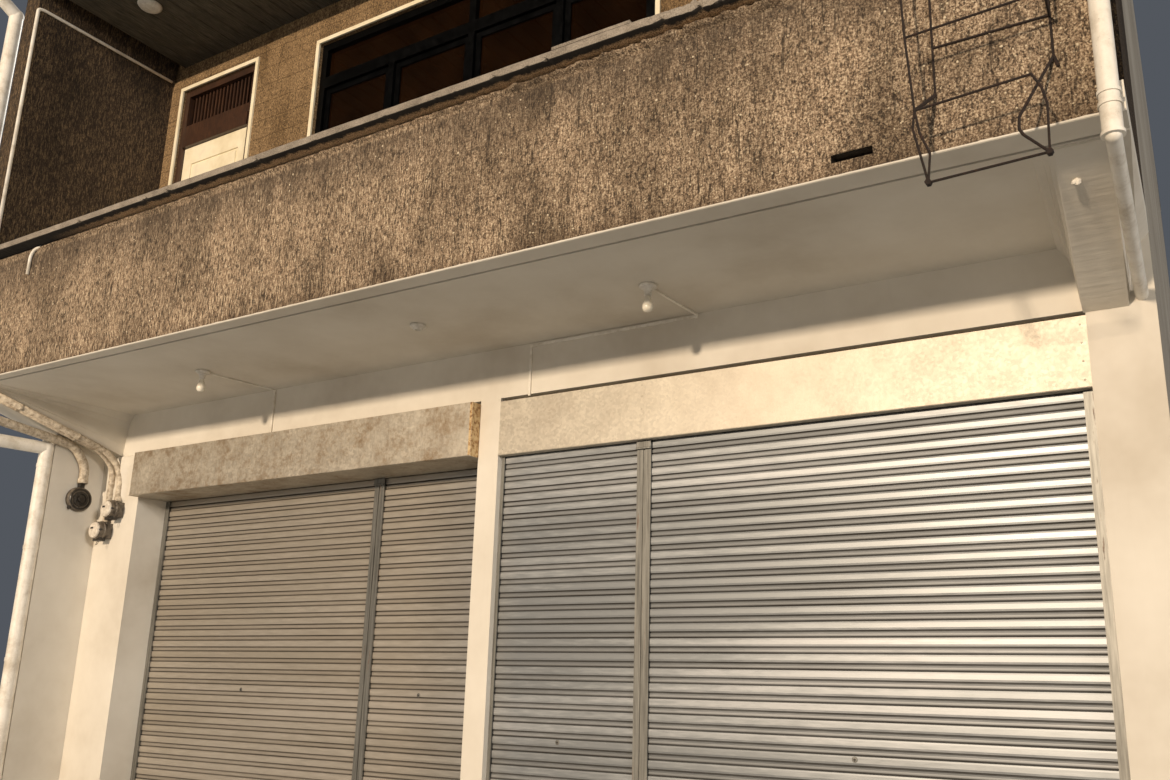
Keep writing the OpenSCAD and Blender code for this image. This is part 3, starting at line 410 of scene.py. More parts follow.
# %% [markdown]
# ## Galvanised sheet
#
# The boxes over the shutters are folded from hot-dipped zinc sheet. Zinc freezes in flat crystals 10 to 20 mm
# across, the spangle, which shows as a mosaic of slightly different greys. With age a dull film grows over it.
# A cell pattern gives the crystals, each with its own grey and its own roughness. It is a metal, so its colour
# is its reflection and its IOR stays as it is.

# %% Finish: galvanised_sheet
finish, tree, shader, place = start_finish("spangled_zinc_sheet", roughness=0.55, metallic=0.85)
crystals = add(tree, "TexVoronoi", {"Vector": place, "Scale": per(15), "Randomness": 1.0})
tone = add(tree, "SeparateColor", {"Color": crystals.outputs["Color"]}).outputs["Red"]
zinc = add(tree, "ValToRGB", {"Fac": tone}, stops=[(0.0, "#bab3a5"), (0.5, "#c5beaf"), (1.0, "#d0c9ba")])
film = add(tree, "TexNoise", {"Vector": place, "Scale": per(260), "Detail": 6.0, "Roughness": 0.65})
film_mask = add(tree, "ValToRGB", {"Fac": film}, stops=[(0.40, "#000000"), (0.70, "#a8a8a8")])
filmed = add(tree, "Mix", {"Factor": film_mask, 6: zinc, 7: "#9c9284"}, data_type="RGBA")
drawn_down = add(tree, "Mapping", {"Vector": place, "Scale": (1.0, 1.0, 0.15)})
smears = add(tree, "TexNoise", {"Vector": drawn_down, "Scale": per(45), "Detail": 5.0, "Roughness": 0.7})
smear_mask = add(tree, "ValToRGB", {"Fac": smears}, stops=[(0.58, "#000000"), (0.82, "#6a6a6a")])
smeared = add(tree, "Mix", {"Factor": smear_mask, 6: filmed, 7: "#7d7467"}, data_type="RGBA")
# The left box has stood longest in the rain: a tan bloom in patches of 200 mm, and dark drips from its top edge
along = add(tree, "SeparateXYZ", {"Vector": place}).outputs["X"]
old = add(tree, "MapRange", {"Value": along, 1: 0.10, 2: 0.20, 3: 1.0, 4: 0.12})
bloom = add(tree, "TexNoise", {"Vector": place, "Scale": per(210), "Detail": 10.0, "Roughness": 0.8})
bloom_mask = add(tree, "ValToRGB", {"Fac": bloom}, stops=[(0.38, "#101010"), (0.50, "#808080"), (0.64, "#ffffff")])
bloom_share = add(tree, "Math", {0: bloom_mask, 1: old}, operation="MULTIPLY")
bloomed = add(tree, "Mix", {"Factor": bloom_share, 6: smeared, 7: "#96836a"}, data_type="RGBA")
drip_place = add(tree, "Mapping", {"Vector": place, "Scale": (1.0, 1.0, 0.09)})
drips = add(tree, "TexNoise", {"Vector": drip_place, "Scale": per(30), "Detail": 5.0, "Roughness": 0.7})
drip_mask = add(tree, "ValToRGB", {"Fac": drips}, stops=[(0.56, "#000000"), (0.74, "#909090")])
drip_share = add(tree, "Math", {0: drip_mask, 1: old}, operation="MULTIPLY")
dripped = add(tree, "Mix", {"Factor": drip_share, 6: bloomed, 7: "#6d5f4f"}, data_type="RGBA")
tree.links.new(dripped.outputs[2], shader.inputs["Base Color"])
rough = add(tree, "MapRange", {"Value": tone, 1: 0.0, 2: 1.0, 3: 0.52, 4: 0.62})
tree.links.new(rough.outputs[0], shader.inputs["Roughness"])
# Thin sheet isn't flat: shallow buckles about 300 mm long
buckles = add(tree, "TexNoise", {"Vector": place, "Scale": per(300), "Detail": 1.0})
buckled = add(tree, "Bump", {"Height": buckles, "Strength": 0.35, "Distance": 0.006})
tree.links.new(buckled.outputs[0], shader.inputs["Normal"])
finishes["galvanised_sheet"] = finish
print("made", finish.name)

# %% [markdown]
# ## Shutter slats
#
# The curtains are roll-formed from zinc-coated strip. Rolling polishes the faces along their length, dust lies in
# the hooked joints, and each slat weathers a little differently. The dark joint lines are that dust and painted
# shade.
# The slat's number is its height divided by the 80 mm pitch, rounded down, and a white noise on that number gives
# every slat its own tone. Long thin smears along the slat come from a noise that is stretched in x.

# %% Finish: shutter_steel
PITCH_MM, CURTAIN_FOOT_MM = 80, 110
finish, tree, shader, place = start_finish("rolled_zinc_slats", roughness=0.46, metallic=0.65)
x_y_z = add(tree, "SeparateXYZ", {"Vector": place})
from_foot = add(tree, "Math", {0: x_y_z.outputs["Z"], 1: CURTAIN_FOOT_MM / 1000}, operation="SUBTRACT")
count = add(tree, "Math", {0: from_foot, 1: 1000 / PITCH_MM}, operation="MULTIPLY")
number = add(tree, "Math", {0: count}, operation="FLOOR")
own_tone = add(tree, "TexWhiteNoise", {"W": number}, noise_dimensions="1D").outputs["Value"]
along = add(tree, "Mapping", {"Vector": place, "Scale": (0.12, 1.0, 1.0)})
smears = add(tree, "TexNoise", {"Vector": along, "Scale": per(14), "Detail": 4.0, "Roughness": 0.6})
clouds = add(tree, "TexNoise", {"Vector": along, "Scale": per(380), "Detail": 3.0, "Roughness": 0.5})
blend = add(tree, "Math", {0: smears, 1: 0.5, 2: clouds}, operation="MULTIPLY_ADD")
mixed = add(tree, "Math", {0: own_tone, 1: 0.16, 2: blend}, operation="MULTIPLY_ADD")
steel = add(tree, "ValToRGB", {"Fac": mixed}, stops=[(0.70, "#8a8d8e"), (0.86, "#9b9e9f"), (1.00, "#acaeaf")])
# Dark lines at the foot of each slat and below its wide band, with a mid-grey narrow band between them: partly dust
# and old grease in the hooked joints, partly painted shade in the grooves and on the narrow band
phase = add(tree, "Math", {0: count}, operation="FRACT")
joint = add(tree, "ValToRGB", {"Fac": phase}, stops=[
    (0.000, "#fafafa"), (0.060, "#f0f0f0"), (0.100, "#b0b0b0"), (0.190, "#8c8c8c"), (0.330, "#a8a8a8"),
    (0.365, "#f4f4f4"), (0.425, "#fafafa"), (0.460, "#000000"), (0.970, "#000000"), (0.995, "#fafafa")])
dust_field = add(tree, "TexNoise", {"Vector": along, "Scale": per(120), "Detail": 4.0, "Roughness": 0.6})
dust_share = add(tree, "MapRange", {"Value": dust_field, 1: 0.3, 2: 0.7, 3: 0.75, 4: 1.0})
dust = add(tree, "Math", {0: joint, 1: dust_share}, operation="MULTIPLY")
# The left pair is tinted tan, and the tint fades out towards the right
tan_tint_share = add(tree, "MapRange", {"Value": x_y_z.outputs["X"], 1: -0.6, 2: 0.5, 3: 0.45, 4: 0.0})
filmed = add(tree, "Mix", {"Factor": tan_tint_share, 6: steel, 7: "#cab89c"}, data_type="RGBA")
dusty_and_shaded = add(tree, "Mix", {"Factor": dust, 6: filmed, 7: "#39332b"}, data_type="RGBA")
tree.links.new(dusty_and_shaded.outputs[2], shader.inputs["Base Color"])
sheen = add(tree, "MapRange", {"Value": smears, 1: 0.3, 2: 0.7, 3: 0.42, 4: 0.50})
dulled = add(tree, "Math", {0: dust, 1: 0.4, 2: sheen}, operation="MULTIPLY_ADD")
tree.links.new(dulled.outputs[0], shader.inputs["Roughness"])
# Hands and goods have dented the thin strip by a millimetre here and there
dents = add(tree, "TexNoise", {"Vector": place, "Scale": per(260), "Detail": 1.0})
dented = add(tree, "Bump", {"Height": dents, "Strength": 0.2, "Distance": 0.003})
tree.links.new(dented.outputs[0], shader.inputs["Normal"])
finishes["shutter_steel"] = finish
print("made", finish.name, "for slats", PITCH_MM, "mm apart")

# %% [markdown]
# ## Guides, gutters and roof
#
# These are the building's other zinc-coated parts. The guides are dull grey channels that the curtains have
# scratched lengthways. The gutters and the roof stand in the rain: a chalky film, brown streaks that run
# downwards from laps and screws, and rust where the coat has gone. One recipe with other amounts serves all
# three. It is metal under a film, so it is not fully metallic.

# %% Finishes: guide_steel, gutter_steel, roof_steel
def weathered_zinc(name, dark, light, rust_share, stretch, metallic):
    finish, tree, shader, place = start_finish(name, roughness=0.6, metallic=metallic)
    drawn = add(tree, "Mapping", {"Vector": place, "Scale": stretch})
    streaks = add(tree, "TexNoise", {"Vector": drawn, "Scale": per(18), "Detail": 5.0, "Roughness": 0.65})
    coat = add(tree, "ValToRGB", {"Fac": streaks}, stops=[(0.34, dark), (0.66, light)])
    fields = add(tree, "TexNoise", {"Vector": place, "Scale": per(500), "Detail": 6.0, "Roughness": 0.7})
    rust_sum = add(tree, "Math", {0: fields, 1: 0.65, 2: streaks}, operation="MULTIPLY_ADD")
    rust_mask = add(tree, "MapRange", {"Value": rust_sum, 1: 1.02 - rust_share, 2: 1.16 - rust_share, 3: 0.0, 4: 0.9})
    rust = add(tree, "ValToRGB", {"Fac": add(tree, "TexNoise", {"Vector": place, "Scale": per(12), "Detail": 6.0})},
               stops=[(0.35, "#4a2a17"), (0.65, "#7d4f2c")])
    rusted = add(tree, "Mix", {"Factor": rust_mask, 6: coat, 7: rust}, data_type="RGBA")
    tree.links.new(rusted.outputs[2], shader.inputs["Base Color"])
    rough = add(tree, "MapRange", {"Value": rust_mask, 1: 0.0, 2: 1.0, 3: 0.5, 4: 0.9})
    tree.links.new(rough.outputs[0], shader.inputs["Roughness"])
    bumped = add(tree, "Bump", {"Height": streaks, "Strength": 0.3, "Distance": 0.001})
    tree.links.new(bumped.outputs[0], shader.inputs["Normal"])
    return finish


finishes["guide_steel"] = weathered_zinc("scratched_zinc_guides", "#666560", "#8f8e88", 0.06, (1.0, 1.0, 0.05), 0.8)
finishes["gutter_steel"] = weathered_zinc("weathered_gutter_sheet", "#8f8c84", "#aeaaa1", 0.10, (1.0, 1.0, 0.25), 0.5)
finishes["roof_steel"] = weathered_zinc("weathered_roof_sheet", "#77746d", "#99958c", 0.20, (1.0, 0.06, 0.3), 0.5)
print("made", finishes["guide_steel"].name, finishes["gutter_steel"].name, finishes["roof_steel"].name)

# %% [markdown]
# ## Cream paint and brown wood
#
# The trims and the door leaf are wood under cream oil paint: half-gloss, yellowed, with brush marks. The door's
# frame and the louvred transom are brown varnished wood, with the grain as long dark lines along the piece. The
# grain is a noise stretched ten times along the fibres, which run upwards here.

# %% Finishes: trim_paint, brown_wood, eave_boards
finish, tree, shader, place = start_finish("cream_oil_paint", roughness=0.42, ior=1.5)
age = add(tree, "TexNoise", {"Vector": place, "Scale": per(220), "Detail": 5.0, "Roughness": 0.6})
cream = add(tree, "ValToRGB", {"Fac": age}, stops=[(0.30, "#dccfae"), (0.55, "#efe5c9"), (0.75, "#f5edd6")])
brushed = add(tree, "Mapping", {"Vector": place, "Scale": (1.0, 1.0, 0.08)})
hairs = add(tree, "TexNoise", {"Vector": brushed, "Scale": per(4), "Detail": 2.0})
grimy = add(tree, "Mix", {"Factor": add(tree, "MapRange", {"Value": age, 1: 0.58, 2: 0.8, 3: 0.0, 4: 0.35}),
                          6: cream, 7: "#a08f6d"}, data_type="RGBA")
tree.links.new(grimy.outputs[2], shader.inputs["Base Color"])
bumped = add(tree, "Bump", {"Height": hairs, "Strength": 0.3, "Distance": 0.0006})
tree.links.new(bumped.outputs[0], shader.inputs["Normal"])
finishes["trim_paint"] = finish


def wood(name, dark, middle, light, grain_scale, roughness, coat):
    """Boards whose fibres run along the direction in which grain_scale is smallest."""
    finish, tree, shader, place = start_finish(name, roughness=roughness, ior=1.5)
    shader.inputs["Coat Weight"].default_value = coat
    fibres = add(tree, "Mapping", {"Vector": place, "Scale": grain_scale})
    grain = add(tree, "TexNoise", {"Vector": fibres, "Scale": per(7), "Detail": 6.0, "Roughness": 0.6})
    tone = add(tree, "ValToRGB", {"Fac": grain}, stops=[(0.32, dark), (0.52, middle), (0.70, light)])
    fade = add(tree, "TexNoise", {"Vector": place, "Scale": per(260), "Detail": 4.0})
    faded = add(tree, "Mix", {"Factor": add(tree, "MapRange", {"Value": fade, 1: 0.4, 2: 0.75, 3: 0.0, 4: 0.5}),
                              6: tone, 7: dark}, data_type="RGBA")
    tree.links.new(faded.outputs[2], shader.inputs["Base Color"])
    bumped = add(tree, "Bump", {"Height": grain, "Strength": 0.4, "Distance": 0.0012})
    tree.links.new(bumped.outputs[0], shader.inputs["Normal"])
    return finish


finishes["brown_wood"] = wood("brown_varnished_wood", "#24150c", "#3d2516", "#533622", (1.0, 1.0, 0.08), 0.45, 0.2)
# The eave boards are far darker than their paint: painted shade, as the eave stands in shade
finishes["eave_boards"] = wood("shade_darkened_boards", "#2f2b23", "#524c40", "#6e6757", (1.0, 0.06, 1.0), 0.75, 0.0)
print("made", finishes["trim_paint"].name, finishes["brown_wood"].name, finishes["eave_boards"].name)

# %% [markdown]
# ## Window frames and glass
#
# The frames are dark bronze anodised aluminium: nearly black, satin, with paler dust on ledges. The glass is
# bronze tinted float glass. Real tinted glass shows a dark brown room and the sky's reflection. Transmission
# with a brown colour gives both, and it stays thin, so nothing behind it bends.

# %% Finishes: dark_frame, window_glass
finish, tree, shader, place = start_finish("dark_bronze_aluminium", roughness=0.42, metallic=0.85)
dust = add(tree, "TexNoise", {"Vector": place, "Scale": per(60), "Detail": 6.0, "Roughness": 0.7})
bronze = add(tree, "ValToRGB", {"Fac": dust}, stops=[(0.40, "#060708"), (0.62, "#0b0c0e"), (0.82, "#1e1d1c")])
tree.links.new(bronze.outputs[0], shader.inputs["Base Color"])
rough = add(tree, "MapRange", {"Value": dust, 1: 0.4, 2: 0.8, 3: 0.34, 4: 0.6})
tree.links.new(rough.outputs[0], shader.inputs["Roughness"])
finishes["dark_frame"] = finish

finish, tree, shader, place = start_finish("bronze_tinted_glass", roughness=0.04, ior=1.45)
shader.inputs["Transmission Weight"].default_value = 0.55
film = add(tree, "TexNoise", {"Vector": place, "Scale": per(320), "Detail": 5.0})
tint = add(tree, "ValToRGB", {"Fac": film}, stops=[(0.35, "#1a0d04"), (0.70, "#2b190b")])
tree.links.new(tint.outputs[0], shader.inputs["Base Color"])
finishes["window_glass"] = finish
print("made", finishes["dark_frame"].name, finishes["window_glass"].name)

# %% [markdown]
# ## Plastics, bulb and rust
#
# The downpipes and conduits are white PVC, chalked by the sun, with flakes of old paint and dirt in the bends. The
# lampholders are glossy white plastic, the bulbs opal glass, the meters grey plastic. The sign frame is plain
# steel rod that has rusted through and through: dark brown scale with orange blooms, rough and not metallic.

# %% Finishes: pipe_plastic, holder_plastic, bulb_glass, meter_plastic, rusty_steel
finish, tree, shader, place = start_finish("chalked_white_pvc", roughness=0.5, ior=1.53)
chalk = add(tree, "TexNoise", {"Vector": place, "Scale": per(140), "Detail": 6.0, "Roughness": 0.7})
white = add(tree, "ValToRGB", {"Fac": chalk}, stops=[(0.32, "#c2b8a6"), (0.52, "#e2dccf"), (0.75, "#eeeae0")])
flakes = add(tree, "TexNoise", {"Vector": place, "Scale": per(26), "Detail": 8.0, "Roughness": 0.75})
flake_mask = add(tree, "ValToRGB", {"Fac": flakes}, stops=[(0.63, "#000000"), (0.67, "#b0b0b0")])
flaked = add(tree, "Mix", {"Factor": flake_mask, 6: white, 7: "#9d9182"}, data_type="RGBA")
tree.links.new(flaked.outputs[2], shader.inputs["Base Color"])
bumped = add(tree, "Bump", {"Height": flake_mask, "Strength": 0.5, "Distance": 0.0008}, invert=True)
tree.links.new(bumped.outputs[0], shader.inputs["Normal"])
finishes["pipe_plastic"] = finish


def moulded(name, dark, light, roughness, ior):
    """Moulded plastic or glass: a nearly even colour under a film of dust, with a faint orange peel."""
    finish, tree, shader, place = start_finish(name, roughness=roughness, ior=ior)
    dust = add(tree, "TexNoise", {"Vector": place, "Scale": per(30), "Detail": 5.0, "Roughness": 0.65})
    tone = add(tree, "ValToRGB", {"Fac": dust}, stops=[(0.35, dark), (0.62, light)])
    tree.links.new(tone.outputs[0], shader.inputs["Base Color"])
    peel = add(tree, "TexNoise", {"Vector": place, "Scale": per(3), "Detail": 1.0})
    bumped = add(tree, "Bump", {"Height": peel, "Strength": 0.1, "Distance": 0.0004})
    tree.links.new(bumped.outputs[0], shader.inputs["Normal"])
    return finish


finishes["holder_plastic"] = moulded("white_moulded_plastic", "#c9c2b4", "#e4dfd4", 0.35, 1.5)
finishes["bulb_glass"] = moulded("opal_bulb_glass", "#d9d1bf", "#efe9da", 0.18, 1.5)
finishes["meter_plastic"] = moulded("grey_meter_plastic", "#7d766b", "#a59d90", 0.4, 1.5)
dark_plastic = moulded("black_moulded_plastic", "#12100e", "#2b2622", 0.35, 1.5)
pale_plastic = moulded("pale_meter_face", "#b9afa0", "#ddd5c7", 0.3, 1.5)
# A near-black lining for the drip groove and the drain: dirt and painted shade
black_dirt_and_painted_shade = moulded("black_dirt_and_shade_lining", "#0d0a07", "#241d16", 0.95, 1.4)

finish, tree, shader, place = start_finish("rusted_steel_rod", roughness=0.9, ior=1.5)
scale_noise = add(tree, "TexNoise", {"Vector": place, "Scale": per(14), "Detail": 8.0, "Roughness": 0.75})
rust = add(tree, "ValToRGB", {"Fac": scale_noise}, stops=[(0.35, "#140f0c"), (0.55, "#251a14"), (0.74, "#4a2e1e")])
tree.links.new(rust.outputs[0], shader.inputs["Base Color"])
bumped = add(tree, "Bump", {"Height": scale_noise, "Strength": 0.8, "Distance": 0.0015})
tree.links.new(bumped.outputs[0], shader.inputs["Normal"])
finishes["rusty_steel"] = finish
print(len(finishes), "finishes for the record's slots:", sorted(finishes))

# %% [markdown]
# ## Dress the CAD nodes
#
# The record says which slot each node takes its finish from, so one loop dresses them all. A few nodes then get
# a closer match: the parapet its own stained roughcast, and the right bracket its ripples.

# %% Assign the finishes
for part in frame["record"]["subparts"]:
    node = frame["nodes"][part["node"]]
    for material_slot in node.material_slots:
        material_slot.material = finishes[part["material_slot"]]
frame["nodes"]["parapet"].material_slots[0].material = parapet_roughcast
frame["nodes"]["right_bracket"].material_slots[0].material = rippled
print("dressed", len(frame["nodes"]), "nodes")

# %% [markdown]
# ## A helper for new pieces
#
# Every piece below is a mesh that the script works out point by point.

# %% From points and faces to a piece
added_triangles = 0


def make_piece(name, points, faces, finish, slot, smooth=False, replaces=()):
    global added_triangles
    mesh = bpy.data.meshes.new(name)
    mesh.from_pydata([tuple(p) for p in points], [], faces)
    mesh.validate()
    if smooth:
        mesh.shade_smooth()
    mesh.materials.append(finish)
    piece = bpy.data.objects.new(name, mesh)
    bpy.context.scene.collection.objects.link(piece)
    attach(piece, "root")
    if replaces:
        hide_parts(*replaces)
    triangles = sum(len(face) - 2 for face in faces)
    added_triangles += triangles
    print(f"{name}: {triangles} triangles")
    return piece


# %% [markdown]
# ## The roughcast coat on the parapet
#
# Bump alone looks flat at the edges, where the eye sees the outline. The coat itself is therefore a real sheet of
# points about 14 mm apart, pushed in and out by a noise that is drawn downwards like the comb's grain. Its foot
# stays thin so that the white edge below stands proud and catches the light. At its top the mortar of the coping
# squeezed out over it: a thin ridge at the left that swells to a rough, broken band at the right. The slot of the
# drain stays open.

# %% Parapet coat
COAT_STEP = 14
COAT_X = (2, 8018)
SCUPPER_X, SCUPPER_Z = (6984, 7164), (3603, 3643)
RIDGE_ROWS = 5
COAT_TOP_Z = 4430  # where the band of squeezed-out mortar begins


def swelling(x):
    """From 0 at the left to 1 at the right, where the mortar band is thickest."""
    return min(1.0, max(0.0, (x - 4300) / 2000))


def coat_thickness(x, z, share):
    grain = noise.fractal(Vector((x / 17, z / 60, 0.0)), 0.9, 2.0, 3)
    broad = noise.noise(Vector((x / 210, z / 340, 7.0)))
    thick = 3.4 + 0.8 * grain + 1.4 * broad
    return max(0.8, thick * min(1.0, 0.25 + share * 3))


def ridge(x, share):
    """How far the squeezed-out mortar stands out, for a share of the way up its band."""
    lumps = noise.fractal(Vector((x / 46, share * 1.3, 11.0)), 0.9, 2.0, 4)
    out = 15 + 9 * lumps + swelling(x) * (30 + 26 * lumps)
    return max(3.0, out * math.sin(math.pi * (0.12 + 0.80 * share)) ** 1.4)


columns = int((COAT_X[1] - COAT_X[0]) / COAT_STEP)
rows = int((COAT_TOP_Z - STRIP_TOP) / COAT_STEP)
points, faces = [], []
for i in range(columns + 1):
    x = COAT_X[0] + (COAT_X[1] - COAT_X[0]) * i / columns
    band = 34 + 18 * swelling(x) + 9 * noise.noise(Vector((x / 80, 2.0, 3.0)))
    top = PARAPET_TOP - 2 - band
    for j in range(rows + 1):
        z = STRIP_TOP + (top - STRIP_TOP) * j / rows
        points.append(at(x, PARAPET_FACE_Y - coat_thickness(x, z, j / rows), z))
    for j in range(1, RIDGE_ROWS + 1):
        share = j / RIDGE_ROWS
        points.append(at(x, PARAPET_FACE_Y - ridge(x, share), top + band * share))
high = rows + 1 + RIDGE_ROWS
for i in range(columns):
    x = COAT_X[0] + (COAT_X[1] - COAT_X[0]) * (i + 0.5) / columns
    for j in range(high - 1):
        z = STRIP_TOP + (COAT_TOP_Z - STRIP_TOP) * (j + 0.5) / rows
        if SCUPPER_X[0] < x < SCUPPER_X[1] and SCUPPER_Z[0] < z < SCUPPER_Z[1]:
            continue
        faces.append((i * high + j, (i + 1) * high + j, (i + 1) * high + j + 1, i * high + j + 1))
make_piece("parapet_roughcast_coat", points, faces, parapet_roughcast, "roughcast", smooth=True)

# %% [markdown]
# ## White pebbles
#
# The mortar holds river gravel, and where the face has weathered off, single white stones of 7 to 14 mm stand
# out. There are more of them to the right. Each one is a squashed twenty-faced ball with jittered corners,
# half sunk into the coat, and all of them together are one mesh.

# %% Pebbles in the coat
PEBBLES = 620
chance = random.Random(11)
GOLDEN = (1 + 5 ** 0.5) / 2
BALL = [Vector(p).normalized() for p in [(-1, GOLDEN, 0), (1, GOLDEN, 0), (-1, -GOLDEN, 0), (1, -GOLDEN, 0),
        (0, -1, GOLDEN), (0, 1, GOLDEN), (0, -1, -GOLDEN), (0, 1, -GOLDEN),
        (GOLDEN, 0, -1), (GOLDEN, 0, 1), (-GOLDEN, 0, -1), (-GOLDEN, 0, 1)]]
BALL_FACES = [(0, 11, 5), (0, 5, 1), (0, 1, 7), (0, 7, 10), (0, 10, 11), (1, 5, 9), (5, 11, 4), (11, 10, 2),
              (10, 7, 6), (7, 1, 8), (3, 9, 4), (3, 4, 2), (3, 2, 6), (3, 6, 8), (3, 8, 9), (4, 9, 5), (2, 4, 11),
              (6, 2, 10), (8, 6, 7), (9, 8, 1)]


def pebble(points, faces, x, y, z, size, chance):
    start = len(points)
    squash = Vector((chance.uniform(0.8, 1.2), 0.6, chance.uniform(0.7, 1.3)))
    for corner in BALL:
        r = size / 2 * chance.uniform(0.85, 1.12)
        points.append(at(x + corner.x * r * squash.x, y + corner.y * r * squash.y, z + corner.z * r * squash.z))
    faces.extend(tuple(start + k for k in face) for face in BALL_FACES)


points, faces = [], []
for _ in range(PEBBLES):
    x = 8018 - 7900 * chance.random() ** 1.7
    z = chance.uniform(3580, 4400)
    if SCUPPER_X[0] - 20 < x < SCUPPER_X[1] + 20 and z < 3670:
        continue
    pebble(points, faces, x, PARAPET_FACE_Y - 4.5, z, chance.choice((7, 9, 9, 11, 14)), chance)
quartz = moulded("white_quartz_pebble", "#a8977c", "#d8c8ab", 0.5, 1.5)
make_piece("white_pebbles", points, faces, quartz, "roughcast", smooth=True)

# %% [markdown]
# ## The coping
#
# The cap is a slab of mortar that stands 100 mm proud of the wall, so that the street sees its black underside.
# Bits of its lower front edge have broken away, and its right part is crumbling. A profile of twelve points is
# carried along the front in 12 mm steps. At each step a noise says how much of the edge is missing, so the bites
# come out as bites of a rough solid and not as paint.

# %% Coping with its broken edge
COPING_X = (400, 8006)


def crumbling(x):
    """From 0 at 6.1 m to 1 at 6.5 m and on to the right end, where the cap is rubble."""
    return min(1.0, max(0.0, (x - 6100) / 400))


def bite(x):
    """How many millimetres of the lower front edge are missing at x."""
    wide = noise.fractal(Vector((x / 120, 2.0, 9.0)), 0.8, 2.0, 4)
    few = max(0.0, (wide - 0.30 + 0.30 * crumbling(x)) * 60)
    return min(34.0, few) + 2.0 * abs(noise.noise(Vector((x / 20, 1.0, 4.0))))


def coping_profile(x):
    broken = bite(x)
    rubble = crumbling(x)
    lumps = noise.fractal(Vector((x / 60, 4.0, 1.0)), 0.9, 2.0, 4)
    wave = 1.5 * noise.noise(Vector((x / 90, 8.0, 1.0))) + rubble * (12 + 14 * lumps)
    top = PARAPET_TOP + 52 + 1.5 * noise.noise(Vector((x / 240, 0.5, 2.0))) - rubble * 10 * abs(lumps)
    front = COPING_FRONT_Y + wave
    back = -CANOPY + 139
    return [(back - 1, PARAPET_TOP + 0.5), (back, top - 14), (back - 5, top - 4), (back - 20, top - 1),
            (back - 110, top + 1.5),
            (front + 12, top - 1), (front + 3, top - 3), (front, top - 9), (front + broken * 0.12, PARAPET_TOP + 24),
            (front + broken * 0.35, PARAPET_TOP + 3 + broken * 0.8),
            (front + 3 + broken * 0.9, PARAPET_TOP + 0.8 + broken * 0.5),
            (PARAPET_FACE_Y - 1, PARAPET_TOP + 0.6)]


def carry(name, stations, profile_at, finish, slot, smooth=True, replaces=()):
    """Carries a closed outline of depths and heights along the front, through each station in x."""
    points, faces = [], []
    for x in stations:
        points.extend(at(x, y, z) for y, z in profile_at(x))
    n = len(profile_at(stations[0]))
    for i in range(len(stations) - 1):
        for k in range(n):
            a, b = i * n + k, i * n + (k + 1) % n
            faces.append((a, b, b + n, a + n))
    faces.append(tuple(range(n))[::-1])
    faces.append(tuple(range((len(stations) - 1) * n, len(stations) * n)))
    return make_piece(name, points, faces, finish, slot, smooth, replaces)


COPING_STEP = 12
steps = int((COPING_X[1] - COPING_X[0]) / COPING_STEP)
stations = [COPING_X[0] + (COPING_X[1] - COPING_X[0]) * i / steps for i in range(steps + 1)]
carry("coping_cap", stations, coping_profile, finishes["coping_mortar"], "coping_mortar", replaces=["parapet_coping"])

# %% [markdown]
# ## A loose board and rubble on the coping
#
# A flat grey board lies along the coping's front edge for half a metre. To its right the cap has crumbled, and
# lumps of mortar lie on it. The board is carried like the coping, with ends cut square. The lumps are jittered
# balls, each sunk a third into the cap, so none of them hangs in the air.

# %% Board and rubble
def board_profile(x):
    lift = PARAPET_TOP + 52 + 0.9 * noise.noise(Vector((x / 120, 1.0, 6.0)))
    front = COPING_FRONT_Y + 6
    return [(front + 2, lift), (front, lift + 3), (front, lift + 19), (front + 3, lift + 21),
            (front + 118, lift + 22), (front + 121, lift + 19), (front + 121, lift + 1)]


LUMPS = 150
points, faces = [], []
chance = random.Random(23)
for _ in range(LUMPS):
    x = chance.uniform(6230, 7960)
    y = COPING_FRONT_Y + 22 + 165 * chance.random() ** 1.5
    size = chance.choice((16, 20, 24, 30, 38))
    pebble(points, faces, x, y, PARAPET_TOP + 44 + size * 0.16, size, chance)
make_piece("mortar_rubble", points, faces, finishes["coping_mortar"], "coping_mortar")
BOARD_START, BOARD_LENGTH = 5585, 455
stations = [BOARD_START + BOARD_LENGTH * i / 24 for i in range(25)]
carry("loose_board", stations, board_profile, finishes["coping_mortar"], "coping_mortar")

# %% [markdown]
# ## The lit edge at the parapet's foot
#
# The canopy's white underside turns up by 10 mm at the front, and there the roughcast ends. The painter's brush
# and the plasterer's float left a thin uneven bead on that edge. From the street it reads as a bright broken
# line. It is carried along the front like the coping.

# %% Bead along the edge
def bead_profile(x):
    up = 1.0 + 4.5 * noise.noise(Vector((x / 90, 0.0, 0.0))) + 3.4 * noise.noise(Vector((x / 17, 3.0, 0.0)))
    out = 2.5 + 2.2 * noise.noise(Vector((x / 55, 9.0, 0.0)))
    return [(PARAPET_FACE_Y + 0.5, STRIP_TOP - 6), (PARAPET_FACE_Y + 0.5, STRIP_TOP + max(1.0, up)),
            (-CANOPY - 8 - out * 0.6, STRIP_TOP + max(0.5, up * 0.6)), (-CANOPY - 8 - out, STRIP_TOP - 4),
            (-CANOPY - 8.2, STRIP_TOP - 9)]


BEAD_X = (4, 8014)
stations = [BEAD_X[0] + (BEAD_X[1] - BEAD_X[0]) * i / 640 for i in range(641)]
carry("white_edge_bead", stations, bead_profile, finishes["white_plaster"], "white_plaster")

# %% [markdown]
# ## Eave boards
#
# The eave is closed from below with painted boards that run from the gutter to the wall. Each is 145 mm wide with
# chamfered lower edges, so that neighbours meet in a dark V. They sag and twist by a few millimetres, and some
# are made of two lengths. A board is an eight-sided outline carried along the depth.

# %% Boards of the eave
BOARD_PITCH = 147.0
EAVE_X, EAVE_Y, EAVE_Z = (470, 7830), (-1349, 39), (6833, 6849.5)
chance = random.Random(5)
points, faces = [], []


